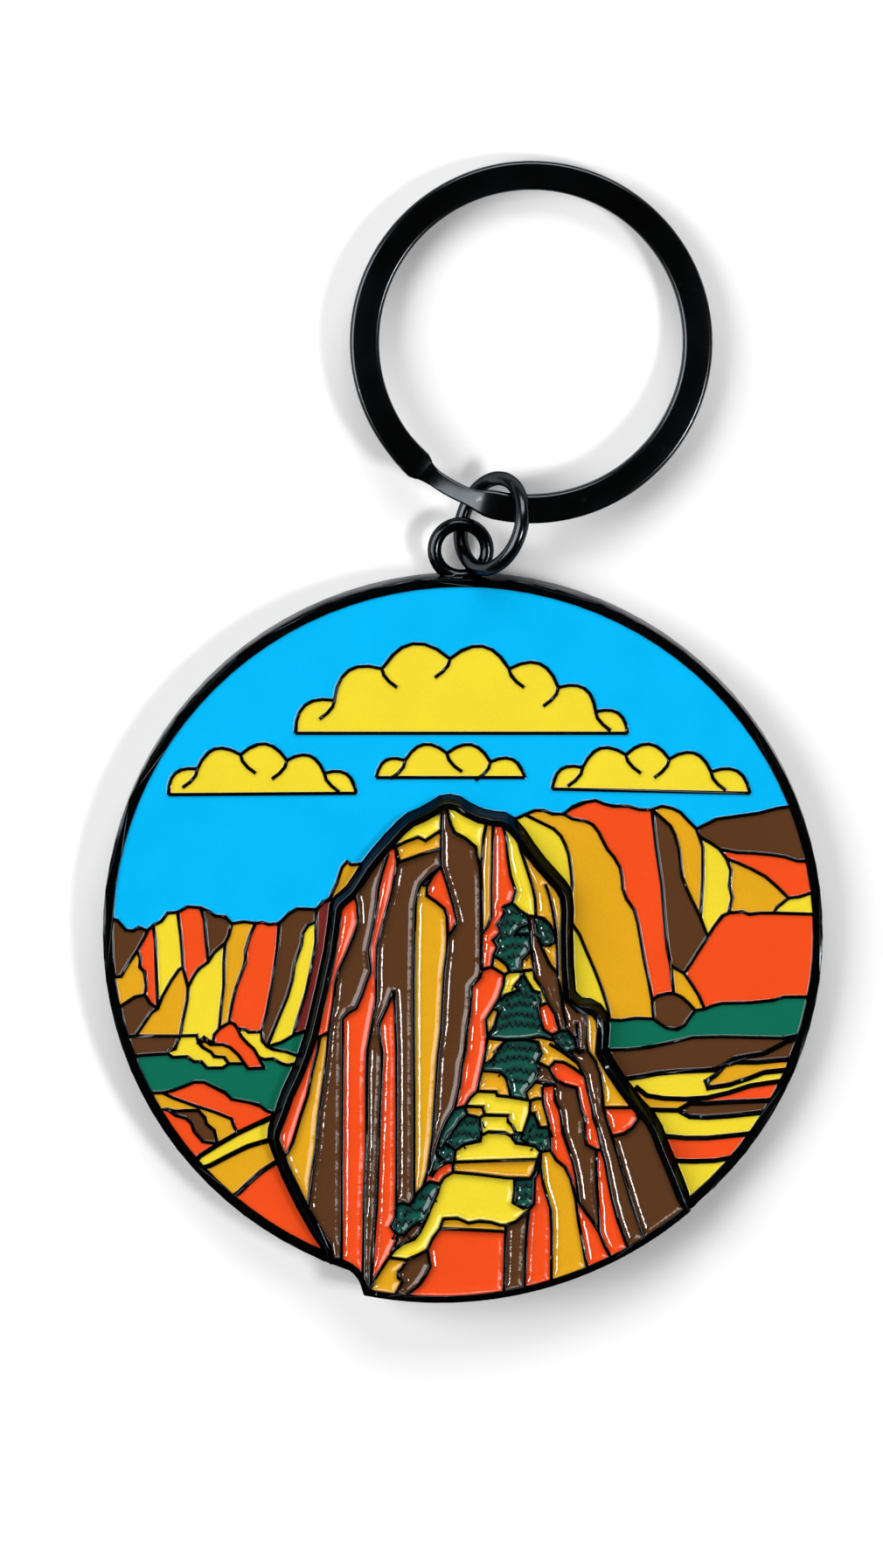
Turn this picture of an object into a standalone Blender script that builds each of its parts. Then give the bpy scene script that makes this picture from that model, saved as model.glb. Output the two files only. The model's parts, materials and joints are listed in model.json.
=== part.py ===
"""Enamelled souvenir medallion keychain: casting, enamel fills, jump ring and split ring.

Run with blender --background --python part.py. Metres, +Z up. The medallion lies on its back:
the origin is the centre of its back face, +Y points at the hanging eye, +Z out of its front.
The drawing on the front is given in millimetres in that frame.
"""

import math

import bmesh
import bpy
from mathutils import Matrix, Vector
from mathutils.bvhtree import BVHTree

MM = 0.001

# Medallion
DISC_RADIUS = 25.0
DISC_SIDES = 96
RIM_WIDTH = 0.7
RIM_TOP = 3.0
BASE_FLOOR = 2.45        # bottom of the recesses of the flat part
BASE_FILL_TOP = 2.88     # surface of the enamel in them
RELIEF_TOP = 4.2
RELIEF_FLOOR = 3.55
RELIEF_FILL_TOP = 3.98
DRAFT = 0.42             # how far the relief's side slopes in between RIM_TOP and RELIEF_TOP
RELIEF_RIM = 0.5
FINE = 0.24              # width of a cast line
BOLD = 0.36
GAP = 0.04               # between an enamel fill and the metal round it
SHARP = 0.35             # cosine of the turn past which a line is made of two walls
OVERSHOOT = 0.5          # how far a cutter passes the surfaces it cuts

# Hanging eye
EYE_CENTRE = (-0.15, 26.75)
EYE_RADIUS = 1.825
EYE_WIRE = 0.475
EYE_HEIGHT = 1.9

# Relief overhanging the rim at the bottom: one arc from the left corner to the rim
OVERHANG_CENTRE = (-1.6, 0.95)
OVERHANG_RADIUS = 26.85
OVERHANG_ANGLES = (258.5, 310.7)
NOTCH_CENTRE = (-9.25, -25.35)
NOTCH_RADIUS = 2.2
NOTCH_ANGLES = (92.0, 20.0)

# Colours of the enamel and of the plating
METAL = (0.012, 0.012, 0.014)
SKY = (0.0, 0.42, 0.86)
YELLOW = (0.94, 0.74, 0.04)
GOLD = (0.83, 0.42, 0.01)
ORANGE = (0.92, 0.1, 0.01)
MAROON = (0.28, 0.03, 0.02)
BROWN = (0.13, 0.045, 0.015)
GREEN = (0.0, 0.17, 0.09)
PINE = (0.005, 0.09, 0.06)

ENAMEL_NAMES = {
    SKY: "enamel_blue", YELLOW: "enamel_yellow", GOLD: "enamel_gold", ORANGE: "enamel_orange",
    MAROON: "enamel_maroon", BROWN: "enamel_brown", GREEN: "enamel_green", PINE: "enamel_pine",
}

# The relief's foot, clockwise from the notch beside the overhang up the left side and down the right
RELIEF_LEFT = [
    (-9.9, -22.1), (-10.6, -21.0), (-11.6, -19.2), (-12.6, -17.1), (-13.3, -15.3), (-13.6, -14.4),
    (-13.55, -13.6), (-13.05, -12.3), (-12.6, -11.0), (-11.9, -9.5), (-11.4, -8.2), (-10.95, -6.8),
    (-10.2, -3.6), (-9.65, -1.0), (-9.4, 0.8), (-9.25, 2.1), (-8.9, 2.7), (-8.1, 3.4), (-7.5, 4.3),
    (-7.0, 5.1), (-6.3, 6.0), (-5.4, 7.0), (-4.6, 7.9), (-3.9, 8.5), (-3.0, 8.9), (-2.3, 9.3),
    (-1.6, 9.75), (-0.9, 9.85),
]
RELIEF_RIGHT = [
    (-0.2, 9.7), (0.5, 9.25), (1.3, 8.85), (2.2, 8.65), (2.9, 8.6), (3.6, 8.2), (4.3, 7.4),
    (5.0, 6.35), (5.7, 5.4), (6.5, 4.5), (7.2, 3.7), (7.6, 2.9), (7.7, 1.8), (7.65, 0.3), (7.7, -2.0),
    (7.85, -4.0), (8.3, -4.45), (8.9, -4.5), (9.6, -4.9), (10.1, -5.6), (10.2, -6.5), (10.1, -8.0),
    (10.7, -9.1), (11.5, -10.3), (12.4, -11.5), (13.4, -12.6), (13.9, -13.5), (14.3, -14.6),
    (14.8, -15.8), (15.3, -17.0), (15.75, -18.2),
]

# Lines of the flat part. They run on under the rim or the relief, which swallow their ends.
SKYLINE = [
    [(-24.9, 1.2), (-24.0, 1.0), (-23.4, 0.3), (-22.9, 0.25), (-22.5, 0.5), (-21.9, 0.25),
     (-21.5, 0.65), (-20.95, 0.9), (-20.5, 1.5), (-19.8, 1.55), (-19.1, 1.95), (-18.2, 1.88),
     (-17.6, 1.6), (-17.2, 1.3), (-16.5, 1.25), (-16.05, 0.75), (-15.2, 0.9), (-14.4, 0.78),
     (-13.9, 0.85), (-13.5, 0.7), (-12.75, 0.78), (-12.1, 1.45), (-11.5, 1.8), (-10.15, 1.75),
     (-9.7, 2.3), (-9.0, 2.5)],
    [(-9.25, 2.4), (-9.05, 3.0), (-8.75, 3.6), (-8.4, 4.7), (-8.05, 5.1), (-7.75, 4.9),
     (-7.1, 4.95)],
    [(3.4, 8.0), (4.3, 8.4), (5.0, 8.7), (5.6, 8.7), (6.2, 8.45), (7.0, 8.45), (7.6, 8.95),
     (8.3, 9.25), (9.2, 9.4), (9.8, 9.15), (10.4, 9.0), (11.4, 9.0), (12.3, 8.75), (13.1, 8.75),
     (13.8, 9.0), (14.5, 8.85), (15.1, 8.55), (15.6, 8.0), (16.2, 7.4), (17.6, 8.1), (20.5, 8.5),
     (21.8, 8.85), (24.0, 9.15)],
]
LEFT_MESA = [
    [(-24.9, -3.05), (-23.75, -2.95), (-23.2, -2.0), (-22.6, -1.15), (-22.0, 0.0), (-21.9, 0.25)],
    [(-22.6, -1.15), (-22.4, -1.7), (-22.45, -2.3), (-22.1, -2.65), (-22.0, -3.6), (-22.1, -4.25),
     (-21.75, -4.85), (-21.2, -5.2)],
    [(-24.7, -5.6), (-23.7, -5.0), (-22.8, -4.4), (-22.1, -4.25)],
    [(-22.75, -7.15), (-21.65, -5.5), (-21.2, -5.2), (-20.9, -4.4), (-20.3, -3.3), (-19.75, -2.5),
     (-19.45, -2.3)],
    [(-21.5, 0.65), (-21.35, -0.5), (-21.3, -2.5), (-21.2, -5.2)],
    [(-19.8, 1.55), (-19.6, 0.0), (-19.5, -1.2), (-19.45, -2.3), (-19.1, -3.75), (-19.15, -4.6),
     (-19.45, -6.0), (-19.65, -7.15)],
    [(-19.1, -3.75), (-18.75, -3.0), (-18.4, -2.45), (-17.7, -1.95), (-17.3, -1.3), (-16.5, -0.6)],
    [(-18.2, 1.88), (-17.95, 1.0), (-17.85, -0.3), (-17.7, -1.95)],
    [(-16.05, 0.75), (-16.25, -0.1), (-16.5, -0.6), (-16.6, -2.0), (-16.6, -3.6), (-16.8, -5.2),
     (-16.95, -6.65)],
    [(-14.4, 0.78), (-14.75, 0.0), (-15.1, -1.1), (-15.1, -2.0), (-15.75, -3.7), (-16.05, -4.9),
     (-16.25, -6.2)],
    [(-12.75, 0.78), (-12.85, -0.8), (-13.2, -3.2), (-13.65, -5.6), (-14.0, -6.85)],
    [(-10.2, 0.9), (-10.75, 0.65), (-11.1, 0.1), (-11.2, -0.7), (-11.7, -2.1), (-11.85, -3.2),
     (-12.2, -4.4), (-12.7, -5.6), (-13.6, -7.9)],
    [(-10.15, 1.75), (-10.2, 0.9), (-10.2, -0.5), (-10.4, -1.7), (-10.9, -4.1), (-11.4, -5.7),
     (-11.8, -7.1)],
    [(-13.6, -7.9), (-12.6, -7.6), (-11.8, -7.1), (-10.7, -6.7)],
    [(-24.2, -7.2), (-22.75, -7.15), (-19.65, -7.15), (-18.5, -7.1), (-18.4, -7.6), (-18.0, -7.25),
     (-17.55, -7.55), (-17.35, -7.5), (-17.3, -7.05), (-16.95, -6.65), (-16.25, -6.2),
     (-15.9, -6.3), (-15.65, -6.65), (-15.1, -6.7), (-14.9, -6.88), (-14.0, -6.85),
     (-13.95, -7.5), (-13.6, -7.9)],
]
LEFT_ROCKS = [
    [(-23.8, -8.7), (-22.2, -8.5), (-20.5, -8.4), (-20.35, -8.15), (-20.0, -8.05), (-19.9, -7.7),
     (-19.65, -7.15)],
    [(-20.5, -8.4), (-20.2, -8.65), (-19.2, -8.6), (-18.7, -8.95), (-18.2, -8.95), (-17.8, -9.4),
     (-16.7, -9.4), (-16.3, -9.1), (-15.2, -9.1), (-14.95, -9.45), (-13.85, -9.4), (-14.2, -8.65)],
    [(-18.4, -7.6), (-18.1, -7.95), (-17.5, -8.3), (-17.3, -8.6), (-16.6, -8.65), (-16.3, -9.1)],
    [(-18.4, -7.6), (-17.9, -7.5), (-17.55, -7.75), (-16.7, -7.75), (-16.2, -7.95), (-15.6, -8.5),
     (-15.2, -9.1)],
    [(-15.65, -6.65), (-15.4, -7.2), (-14.95, -7.7), (-14.55, -8.05), (-14.2, -8.65)],
    [(-13.6, -7.9), (-13.2, -8.1), (-12.3, -8.25), (-11.5, -8.55), (-11.2, -8.6)],
    [(-14.2, -8.65), (-13.8, -8.8), (-13.2, -8.75), (-12.6, -9.1), (-12.2, -9.2), (-11.6, -9.1)],
]
LEFT_FIELDS = [
    [(-23.0, -11.2), (-20.9, -11.15), (-20.2, -11.0), (-19.4, -10.7), (-18.7, -10.4),
     (-18.0, -10.4), (-17.3, -10.75), (-16.6, -11.1), (-16.1, -11.6), (-14.8, -11.85),
     (-14.2, -12.0), (-13.7, -12.4), (-12.9, -12.7)],
    [(-20.9, -11.15), (-20.2, -11.5), (-18.7, -12.05), (-17.3, -12.5), (-16.1, -13.0),
     (-15.95, -13.5), (-15.7, -13.95)],
    [(-22.0, -12.5), (-20.6, -12.3), (-20.0, -12.45), (-19.2, -12.4), (-18.4, -12.4),
     (-17.95, -12.9), (-17.85, -13.35), (-17.3, -13.8), (-17.1, -14.75)],
    [(-20.6, -12.3), (-20.0, -12.75), (-19.3, -12.95), (-18.9, -13.3), (-18.7, -13.9),
     (-18.1, -14.6), (-17.1, -14.75)],
]
LEFT_STRATA = [
    [(-18.9, -16.4), (-18.3, -15.6), (-17.1, -14.85), (-15.75, -14.05), (-14.5, -13.45),
     (-13.0, -12.75)],
    [(-18.9, -16.7), (-17.6, -16.3), (-16.3, -15.6), (-15.0, -14.95), (-13.2, -14.4)],
    [(-16.6, -18.9), (-15.6, -18.2), (-14.8, -17.4), (-14.0, -16.7), (-12.8, -15.9)],
]
RIGHT_MESA = [
    [(4.3, 8.4), (5.2, 7.95), (6.3, 7.4), (6.8, 6.9), (7.1, 6.3), (7.35, 5.6), (7.5, 4.6),
     (7.6, 3.5), (7.5, 2.9)],
    [(7.0, 8.45), (7.6, 8.1), (8.5, 7.95), (9.0, 7.7), (9.4, 7.2), (10.0, 6.0), (10.5, 5.4),
     (10.9, 4.7), (11.05, 4.0), (11.1, 3.2), (11.35, 2.5), (11.9, 1.7), (12.15, 0.8),
     (12.6, -1.8), (12.9, -3.2), (13.15, -4.6), (13.25, -5.95)],
    [(7.5, 0.9), (8.1, 0.0), (8.6, -1.2), (9.2, -2.6), (9.7, -3.9), (10.1, -5.2), (10.2, -6.0)],
    [(13.1, 8.75), (13.25, 7.5), (13.4, 6.2), (13.8, 3.5), (14.05, 0.5), (14.2, -1.0),
     (14.45, -2.2), (14.65, -4.15)],
    [(13.1, 8.75), (13.8, 8.15), (14.4, 7.6), (14.7, 7.0), (15.0, 6.0), (15.1, 5.0), (15.2, 4.1),
     (15.5, 3.3), (15.9, 2.4), (16.5, 1.2), (17.0, -0.2), (16.3, -1.3), (15.4, -2.75)],
    [(16.2, 7.4), (16.4, 6.85), (16.65, 6.1), (16.65, 4.0), (16.55, 2.2), (16.5, 1.2)],
    [(16.4, 6.85), (17.2, 6.4), (17.8, 6.0), (18.3, 5.3), (18.6, 4.5), (18.5, 3.4), (18.7, 2.6),
     (18.45, 1.5), (18.0, 1.3), (17.4, 0.5), (17.0, -0.2)],
    [(17.8, 6.0), (19.0, 5.75), (20.2, 5.7), (21.3, 5.6), (22.3, 5.45), (23.2, 5.15),
     (24.6, 5.1)],
    [(18.3, 5.3), (19.0, 5.05), (20.0, 4.6), (21.0, 4.05), (21.8, 3.35), (22.6, 2.55),
     (23.4, 2.65), (24.7, 3.1)],
    [(18.45, 1.5), (19.4, 1.6), (19.9, 1.4), (20.6, 1.5), (21.6, 1.5), (24.9, 1.4)],
    [(21.6, 1.5), (21.8, 1.9), (22.6, 2.55)],
    [(14.45, -2.2), (15.4, -2.75), (15.9, -3.5), (16.4, -4.3), (16.8, -5.25)],
    [(13.15, -4.6), (13.6, -4.3), (14.2, -4.15), (14.65, -4.15), (15.2, -4.4), (15.7, -4.85),
     (16.15, -5.35)],
    [(10.0, -6.0), (11.0, -6.05), (12.0, -5.9), (13.25, -5.95), (13.7, -6.3), (14.2, -6.6),
     (14.9, -6.7), (15.4, -6.4), (15.7, -5.95), (16.15, -5.35), (16.8, -5.25), (17.4, -5.0),
     (18.0, -4.85), (20.0, -4.8), (21.5, -4.65), (22.3, -4.4), (24.7, -4.4)],
]
RIGHT_FIELDS = [
    [(9.9, -8.15), (11.5, -8.1), (13.0, -7.95), (14.5, -7.6), (16.0, -7.25), (18.0, -7.2),
     (22.3, -7.3), (24.2, -6.9)],
]
RIGHT_STRATA = [
    [(11.2, -10.2), (12.5, -10.0), (13.5, -9.8), (15.0, -9.65), (17.5, -9.55), (18.2, -9.2),
     (18.9, -8.75), (19.9, -8.55), (20.9, -8.4), (21.7, -8.0), (22.4, -7.6), (23.6, -7.2)],
    [(18.2, -9.2), (19.0, -9.0), (20.5, -9.0), (22.0, -8.85), (23.8, -8.75)],
    [(18.2, -9.2), (17.6, -9.9), (16.95, -10.35), (17.1, -10.8), (18.5, -10.6), (20.0, -10.1),
     (21.0, -9.7), (23.4, -9.45)],
    [(12.0, -10.7), (12.8, -11.35), (14.0, -11.55), (15.5, -11.6), (17.0, -11.5), (18.5, -11.15),
     (20.0, -10.65), (23.0, -10.2)],
    [(15.0, -12.4), (15.8, -11.9), (17.0, -11.9), (18.5, -11.8), (20.0, -11.75), (22.3, -11.65)],
    [(12.9, -12.35), (15.0, -12.4), (15.8, -12.85), (17.0, -12.9), (18.5, -12.8), (21.7, -12.45)],
    [(13.9, -14.2), (15.5, -14.35), (17.0, -14.35), (18.5, -14.2), (20.8, -13.95)],
    [(14.6, -15.95), (16.0, -16.0), (17.5, -15.95), (19.5, -15.6)],
]

# Lines of the relief
CLIFF_TOP = [
    [(-5.0, 6.2), (-4.5, 6.4), (-3.9, 6.7), (-3.1, 7.0), (-2.6, 6.75), (-1.5, 7.5)],
    [(-4.65, 6.3), (-4.4, 5.25), (-3.0, 5.75), (-1.5, 6.2)],
    [(-1.45, 9.4), (-1.5, 7.5), (-1.5, 5.0), (-1.0, 3.4), (-0.6, 2.0), (-0.4, 1.1), (-0.7, 0.5),
     (-1.05, 0.0)],
    [(-1.2, 9.3), (-0.8, 7.8), (-0.55, 7.3), (0.2, 6.9), (0.9, 6.3), (1.0, 5.6), (1.25, 4.7)],
    [(1.7, 8.3), (1.4, 6.9), (1.35, 5.8), (1.25, 4.7), (1.3, 3.0), (1.3, 0.2), (1.3, -2.3),
     (1.2, -2.8), (0.6, -3.5), (0.55, -5.2), (0.35, -6.2), (0.2, -8.0), (-0.05, -9.0),
     (-0.2, -10.4), (-0.6, -12.1)],
    [(2.1, 8.2), (2.05, 6.0), (2.0, 3.5), (2.0, 1.5), (1.7, 0.7), (1.3, 0.2)],
    [(2.7, 8.0), (3.0, 7.0), (3.1, 5.5), (3.3, 4.3), (3.65, 3.2), (3.4, 2.4)],
    [(3.7, 7.3), (4.0, 6.1), (4.4, 4.9), (4.75, 3.8), (5.0, 2.9), (5.05, 1.4)],
    [(5.7, 3.7), (6.05, 2.7), (6.3, 1.6), (6.5, 0.3), (6.55, -0.9), (6.6, -2.5), (6.75, -3.7),
     (6.95, -5.2), (7.25, -6.6)],
]
CLIFF_STRIPES = [
    [(-7.5, 3.0), (-7.3, 2.3), (-7.25, 1.0), (-7.6, 0.0), (-8.1, -1.2), (-8.6, -2.3),
     (-8.85, -3.2), (-8.95, -4.5), (-9.3, -6.7), (-9.4, -8.0), (-9.65, -10.0), (-10.0, -12.5),
     (-10.2, -14.8), (-10.55, -17.0), (-10.8, -19.6)],
    [(-10.3, -7.1), (-9.9, -7.0), (-9.3, -6.7)],
    [(-9.9, -7.0), (-10.1, -8.0), (-10.5, -9.7), (-10.8, -11.2), (-11.3, -12.7), (-11.8, -14.4),
     (-12.6, -16.0)],
    [(-5.4, 6.6), (-5.2, 5.8), (-5.6, 4.5), (-5.85, 3.5), (-5.95, 2.3), (-6.2, 0.8),
     (-6.55, -0.9), (-6.4, -2.4), (-6.7, -3.2), (-7.0, -4.1), (-7.4, -5.0), (-8.0, -5.35),
     (-8.35, -5.75), (-8.35, -9.0), (-8.4, -15.0), (-8.45, -23.0)],
    [(-4.7, 6.8), (-4.65, 6.3), (-4.55, 5.2), (-4.9, 3.2), (-5.3, 1.8), (-5.65, 0.5),
     (-5.95, -0.7), (-6.0, -2.3), (-6.0, -4.4), (-6.15, -5.2), (-6.4, -6.6), (-6.65, -8.0),
     (-6.7, -10.0), (-6.7, -15.0), (-6.85, -18.0), (-6.95, -24.3)],
    [(-4.8, -3.75), (-5.2, -4.8), (-5.8, -6.1), (-5.75, -7.0), (-5.55, -8.2), (-5.7, -11.0),
     (-5.85, -15.0), (-6.0, -19.0), (-6.2, -21.5), (-6.45, -24.6)],
    [(-4.8, -3.75), (-4.7, -5.0), (-4.6, -8.0), (-4.6, -13.0), (-4.6, -17.0), (-4.65, -18.9),
     (-4.7, -19.8)],
    [(-1.5, 5.0), (-2.3, 4.4), (-2.95, 3.7), (-3.1, 3.2), (-3.3, 2.2), (-3.35, 0.0), (-3.4, -3.0),
     (-3.4, -12.0), (-3.4, -18.3)],
    [(-2.95, 3.7), (-2.45, 3.6), (-2.5, 2.9), (-1.9, 2.5), (-1.3, 2.0), (-1.1, 1.5),
     (-1.05, 0.0), (-1.1, -1.0), (-1.3, -2.5), (-1.4, -4.5), (-1.5, -6.5), (-1.75, -8.5),
     (-1.9, -11.0), (-2.1, -14.0), (-2.45, -16.5), (-2.8, -17.6)],
    [(-1.5, 5.0), (-2.1, 4.3), (-2.45, 3.6)],
    [(1.3, -2.3), (2.0, -2.1), (2.9, -2.65), (2.8, -3.4), (2.5, -4.3), (2.1, -5.0), (1.6, -5.8),
     (1.7, -7.1), (1.6, -8.0), (1.4, -9.0), (1.2, -9.9), (1.0, -10.85), (0.5, -11.3),
     (0.15, -11.9), (-0.6, -12.1), (-1.1, -12.9), (-1.5, -13.8), (-1.8, -14.8), (-2.1, -16.0),
     (-2.3, -16.8)],
]
CLIFF_RIGHT = [
    [(4.6, 0.9), (4.7, 0.2), (4.7, -0.8), (4.9, -2.0), (5.0, -2.9), (5.5, -3.6), (5.9, -4.6),
     (6.4, -5.4), (6.7, -6.6)],
    [(5.05, 0.9), (5.2, 0.0), (5.5, -0.8), (6.0, -1.9), (6.6, -2.6)],
    [(7.9, -6.0), (8.0, -7.0), (7.95, -8.05), (8.5, -8.0)],
    [(8.55, -5.4), (8.6, -7.2), (8.7, -8.0), (9.2, -8.7), (9.55, -9.6), (9.7, -10.6),
     (9.75, -12.0), (10.1, -13.2), (10.4, -14.2), (10.8, -15.4), (11.2, -16.8), (11.7, -18.5),
     (12.2, -20.0), (12.9, -22.0)],
    [(9.75, -12.0), (11.8, -12.0)],
    [(12.0, -12.0), (12.2, -12.8), (11.8, -13.4), (11.2, -13.85), (10.4, -14.0)],
    [(7.5, -8.1), (8.0, -8.9), (8.5, -9.8), (8.65, -10.6), (9.0, -12.0), (9.1, -12.8),
     (9.4, -13.6), (9.65, -14.95), (9.9, -15.8), (10.1, -17.0), (10.4, -18.5), (10.8, -20.0),
     (11.3, -21.4), (11.8, -22.7)],
    [(6.0, -7.5), (6.8, -8.0), (7.5, -8.5), (8.0, -8.9)],
    [(6.0, -9.2), (6.4, -8.75), (7.0, -8.8), (7.6, -9.15), (8.5, -9.8)],
    [(6.0, -9.2), (6.4, -10.0), (7.1, -10.4), (7.9, -10.6), (8.05, -11.3), (8.25, -12.2),
     (8.5, -12.8), (8.45, -13.8), (8.6, -14.6), (9.3, -15.0), (9.65, -14.95)],
    [(5.5, -10.5), (6.4, -10.35), (6.4, -11.5), (6.8, -12.3), (6.95, -13.8), (7.3, -14.8),
     (7.65, -15.8), (7.9, -17.0), (8.1, -18.6), (8.5, -19.3), (9.0, -20.0), (9.5, -20.8),
     (9.9, -21.8), (10.6, -23.2)],
    [(5.5, -10.5), (5.6, -11.7), (5.9, -12.8), (6.1, -14.2), (6.1, -15.0), (6.5, -15.7),
     (7.1, -16.2), (7.5, -17.0), (7.85, -18.4), (8.05, -20.0), (8.3, -21.3), (8.5, -22.5),
     (8.8, -24.1)],
    [(9.3, -15.0), (9.3, -17.3), (9.45, -19.5), (9.5, -20.8)],
    [(6.1, -15.0), (5.4, -15.1), (5.45, -16.3), (5.6, -17.4), (5.9, -18.4), (6.15, -19.2),
     (6.2, -20.5), (6.15, -25.0)],
    [(5.45, -16.1), (5.0, -17.0), (4.95, -18.8), (4.6, -19.2), (4.5, -20.5), (4.4, -22.0),
     (4.25, -25.4)],
]
CLIFF_LEDGES = [
    [(1.0, -10.85), (2.3, -10.9), (2.4, -11.15), (3.3, -11.25), (4.7, -11.5), (4.65, -12.4),
     (4.2, -13.8), (3.7, -13.8), (3.45, -13.3), (3.15, -13.0), (3.15, -12.55), (1.5, -12.5),
     (1.4, -11.95), (0.15, -11.9)],
    [(4.7, -11.5), (5.2, -11.35), (5.55, -11.4)],
    [(-0.65, -15.85), (-0.5, -15.0), (0.1, -14.6), (1.2, -14.35), (1.3, -13.95), (1.8, -13.7),
     (2.9, -13.75), (3.35, -14.0), (3.7, -14.5), (5.0, -14.7), (5.4, -15.1)],
    [(5.4, -15.1), (5.2, -15.65), (2.0, -15.75), (-0.65, -15.85)],
    [(1.5, -12.5), (1.2, -12.7), (1.25, -13.4), (1.3, -13.95)],
    [(3.7, -13.8), (3.35, -14.0)],
    [(0.15, -11.9), (0.3, -12.5)],
    [(-0.65, -15.85), (-0.7, -16.55), (1.0, -16.7), (3.0, -16.95), (4.7, -17.0), (5.0, -16.4),
     (5.2, -15.65)],
    [(-2.2, -16.9), (-1.8, -16.3), (-1.2, -15.9), (-0.65, -15.85)],
    [(-0.7, -16.55), (-1.3, -16.9), (-1.6, -17.4), (-1.75, -18.0), (-2.2, -19.0), (-2.6, -20.0),
     (-3.0, -20.8), (-3.4, -21.3), (-4.2, -21.6), (-4.8, -22.1), (-5.15, -22.6), (-3.9, -22.75),
     (-3.0, -22.35), (-2.45, -22.0), (-2.1, -21.2), (-1.6, -20.55), (0.0, -20.6),
     (2.95, -20.75)],
    [(-1.6, -20.55), (-1.35, -19.85), (-0.4, -19.8), (0.4, -20.15), (1.2, -20.0), (2.0, -20.1),
     (2.6, -20.3), (3.0, -20.3), (3.7, -20.05), (4.6, -19.2)],
    [(3.0, -20.3), (2.95, -22.0), (2.9, -24.0), (2.8, -25.7)],
    [(-2.45, -22.0), (-2.25, -23.2), (-2.6, -23.9), (-3.0, -24.5), (-4.2, -25.5)],
    [(-5.15, -22.6), (-6.0, -23.9), (-6.7, -25.3)],
    [(-3.9, -22.75), (-4.2, -23.3), (-4.5, -23.6), (-4.5, -24.0), (-4.2, -24.3), (-4.8, -25.4)],
    [(-4.65, -20.9), (-4.6, -21.4), (-5.0, -22.3)],
]
TREES = [
    [(3.4, 2.4), (2.8, 2.1), (2.9, 1.6), (2.4, 0.9), (2.6, 0.3), (2.1, -0.2), (2.4, -0.7),
     (2.1, -1.3), (2.0, -2.1)],
    [(3.4, 2.4), (3.9, 1.9), (4.5, 1.5), (4.6, 0.9), (4.0, 0.7), (3.6, 0.2), (4.7, 0.2)],
    [(4.7, -0.8), (4.5, -1.2), (4.1, -1.6), (4.0, -2.4)],
    [(2.1, -1.3), (2.6, -1.6), (3.1, -2.0), (3.2, -2.45)],
    [(2.9, -2.65), (3.2, -2.45), (4.0, -2.4), (4.9, -2.3)],
    [(4.15, -2.4), (4.0, -2.9), (3.6, -3.4), (3.9, -3.7), (2.9, -4.1), (2.6, -4.5)],
    [(4.15, -2.4), (4.4, -3.0), (4.9, -3.8), (5.3, -3.9), (5.4, -4.5), (5.2, -4.9), (5.9, -4.6)],
    [(2.1, -5.0), (2.5, -5.2), (2.2, -6.2), (1.7, -7.1), (3.0, -7.25), (4.3, -7.2),
     (5.3, -7.0), (6.5, -7.3)],
    [(5.2, -4.9), (5.4, -5.8), (5.6, -6.5), (6.2, -6.9), (6.7, -6.6)],
    [(5.05, 1.4), (5.6, 1.3), (6.0, 0.9), (6.3, 0.4), (6.4, -0.3), (6.0, -0.6), (5.5, -0.55),
     (5.35, -0.4)],
    [(4.5, 1.5), (5.05, 1.4), (5.05, 0.9)],
    [(6.2, -6.9), (6.7, -6.6), (7.3, -6.6), (7.8, -7.2), (7.8, -7.9)],
    [(7.8, -7.9), (7.2, -8.1), (6.6, -7.7), (6.2, -6.9)],
    [(7.8, -7.0), (8.0, -6.8)],
    [(7.8, -7.9), (8.2, -8.2)],
    [(3.0, -7.25), (2.4, -7.9), (2.1, -8.6), (1.4, -9.0)],
    [(1.4, -9.4), (2.6, -9.5), (3.0, -9.9), (3.2, -10.5), (3.3, -11.25)],
    [(4.3, -7.2), (5.2, -7.4), (5.5, -8.2), (5.2, -8.8), (6.0, -9.2)],
    [(5.2, -8.8), (5.3, -9.5), (5.0, -10.2), (4.4, -10.9), (4.5, -11.4)],
    [(5.0, -10.2), (6.4, -10.35)],
    [(0.3, -12.5), (1.2, -12.7)],
    [(0.3, -12.5), (-0.2, -12.9), (-0.5, -13.4), (-1.0, -13.9), (-1.2, -14.5), (-1.7, -14.9),
     (-1.7, -15.4), (-1.2, -15.9)],
    [(-0.5, -15.0), (-1.2, -14.5)],
    [(-1.6, -17.4), (-2.3, -17.2), (-2.8, -17.6), (-3.4, -18.3), (-3.7, -18.9), (-4.2, -18.7),
     (-4.65, -18.9)],
    [(-4.7, -19.8), (-5.0, -20.4), (-4.65, -20.9), (-4.1, -21.0), (-3.6, -20.4), (-3.0, -20.1),
     (-2.6, -20.0)],
    [(4.65, -12.4), (5.0, -12.4), (5.3, -13.4), (6.0, -13.4), (6.2, -14.1)],
    [(4.2, -13.8), (4.1, -14.2), (4.6, -14.65)],
    [(4.7, -17.0), (3.6, -17.1), (3.6, -17.9), (3.5, -18.7), (4.2, -19.1), (4.95, -18.8)],
]

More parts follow.
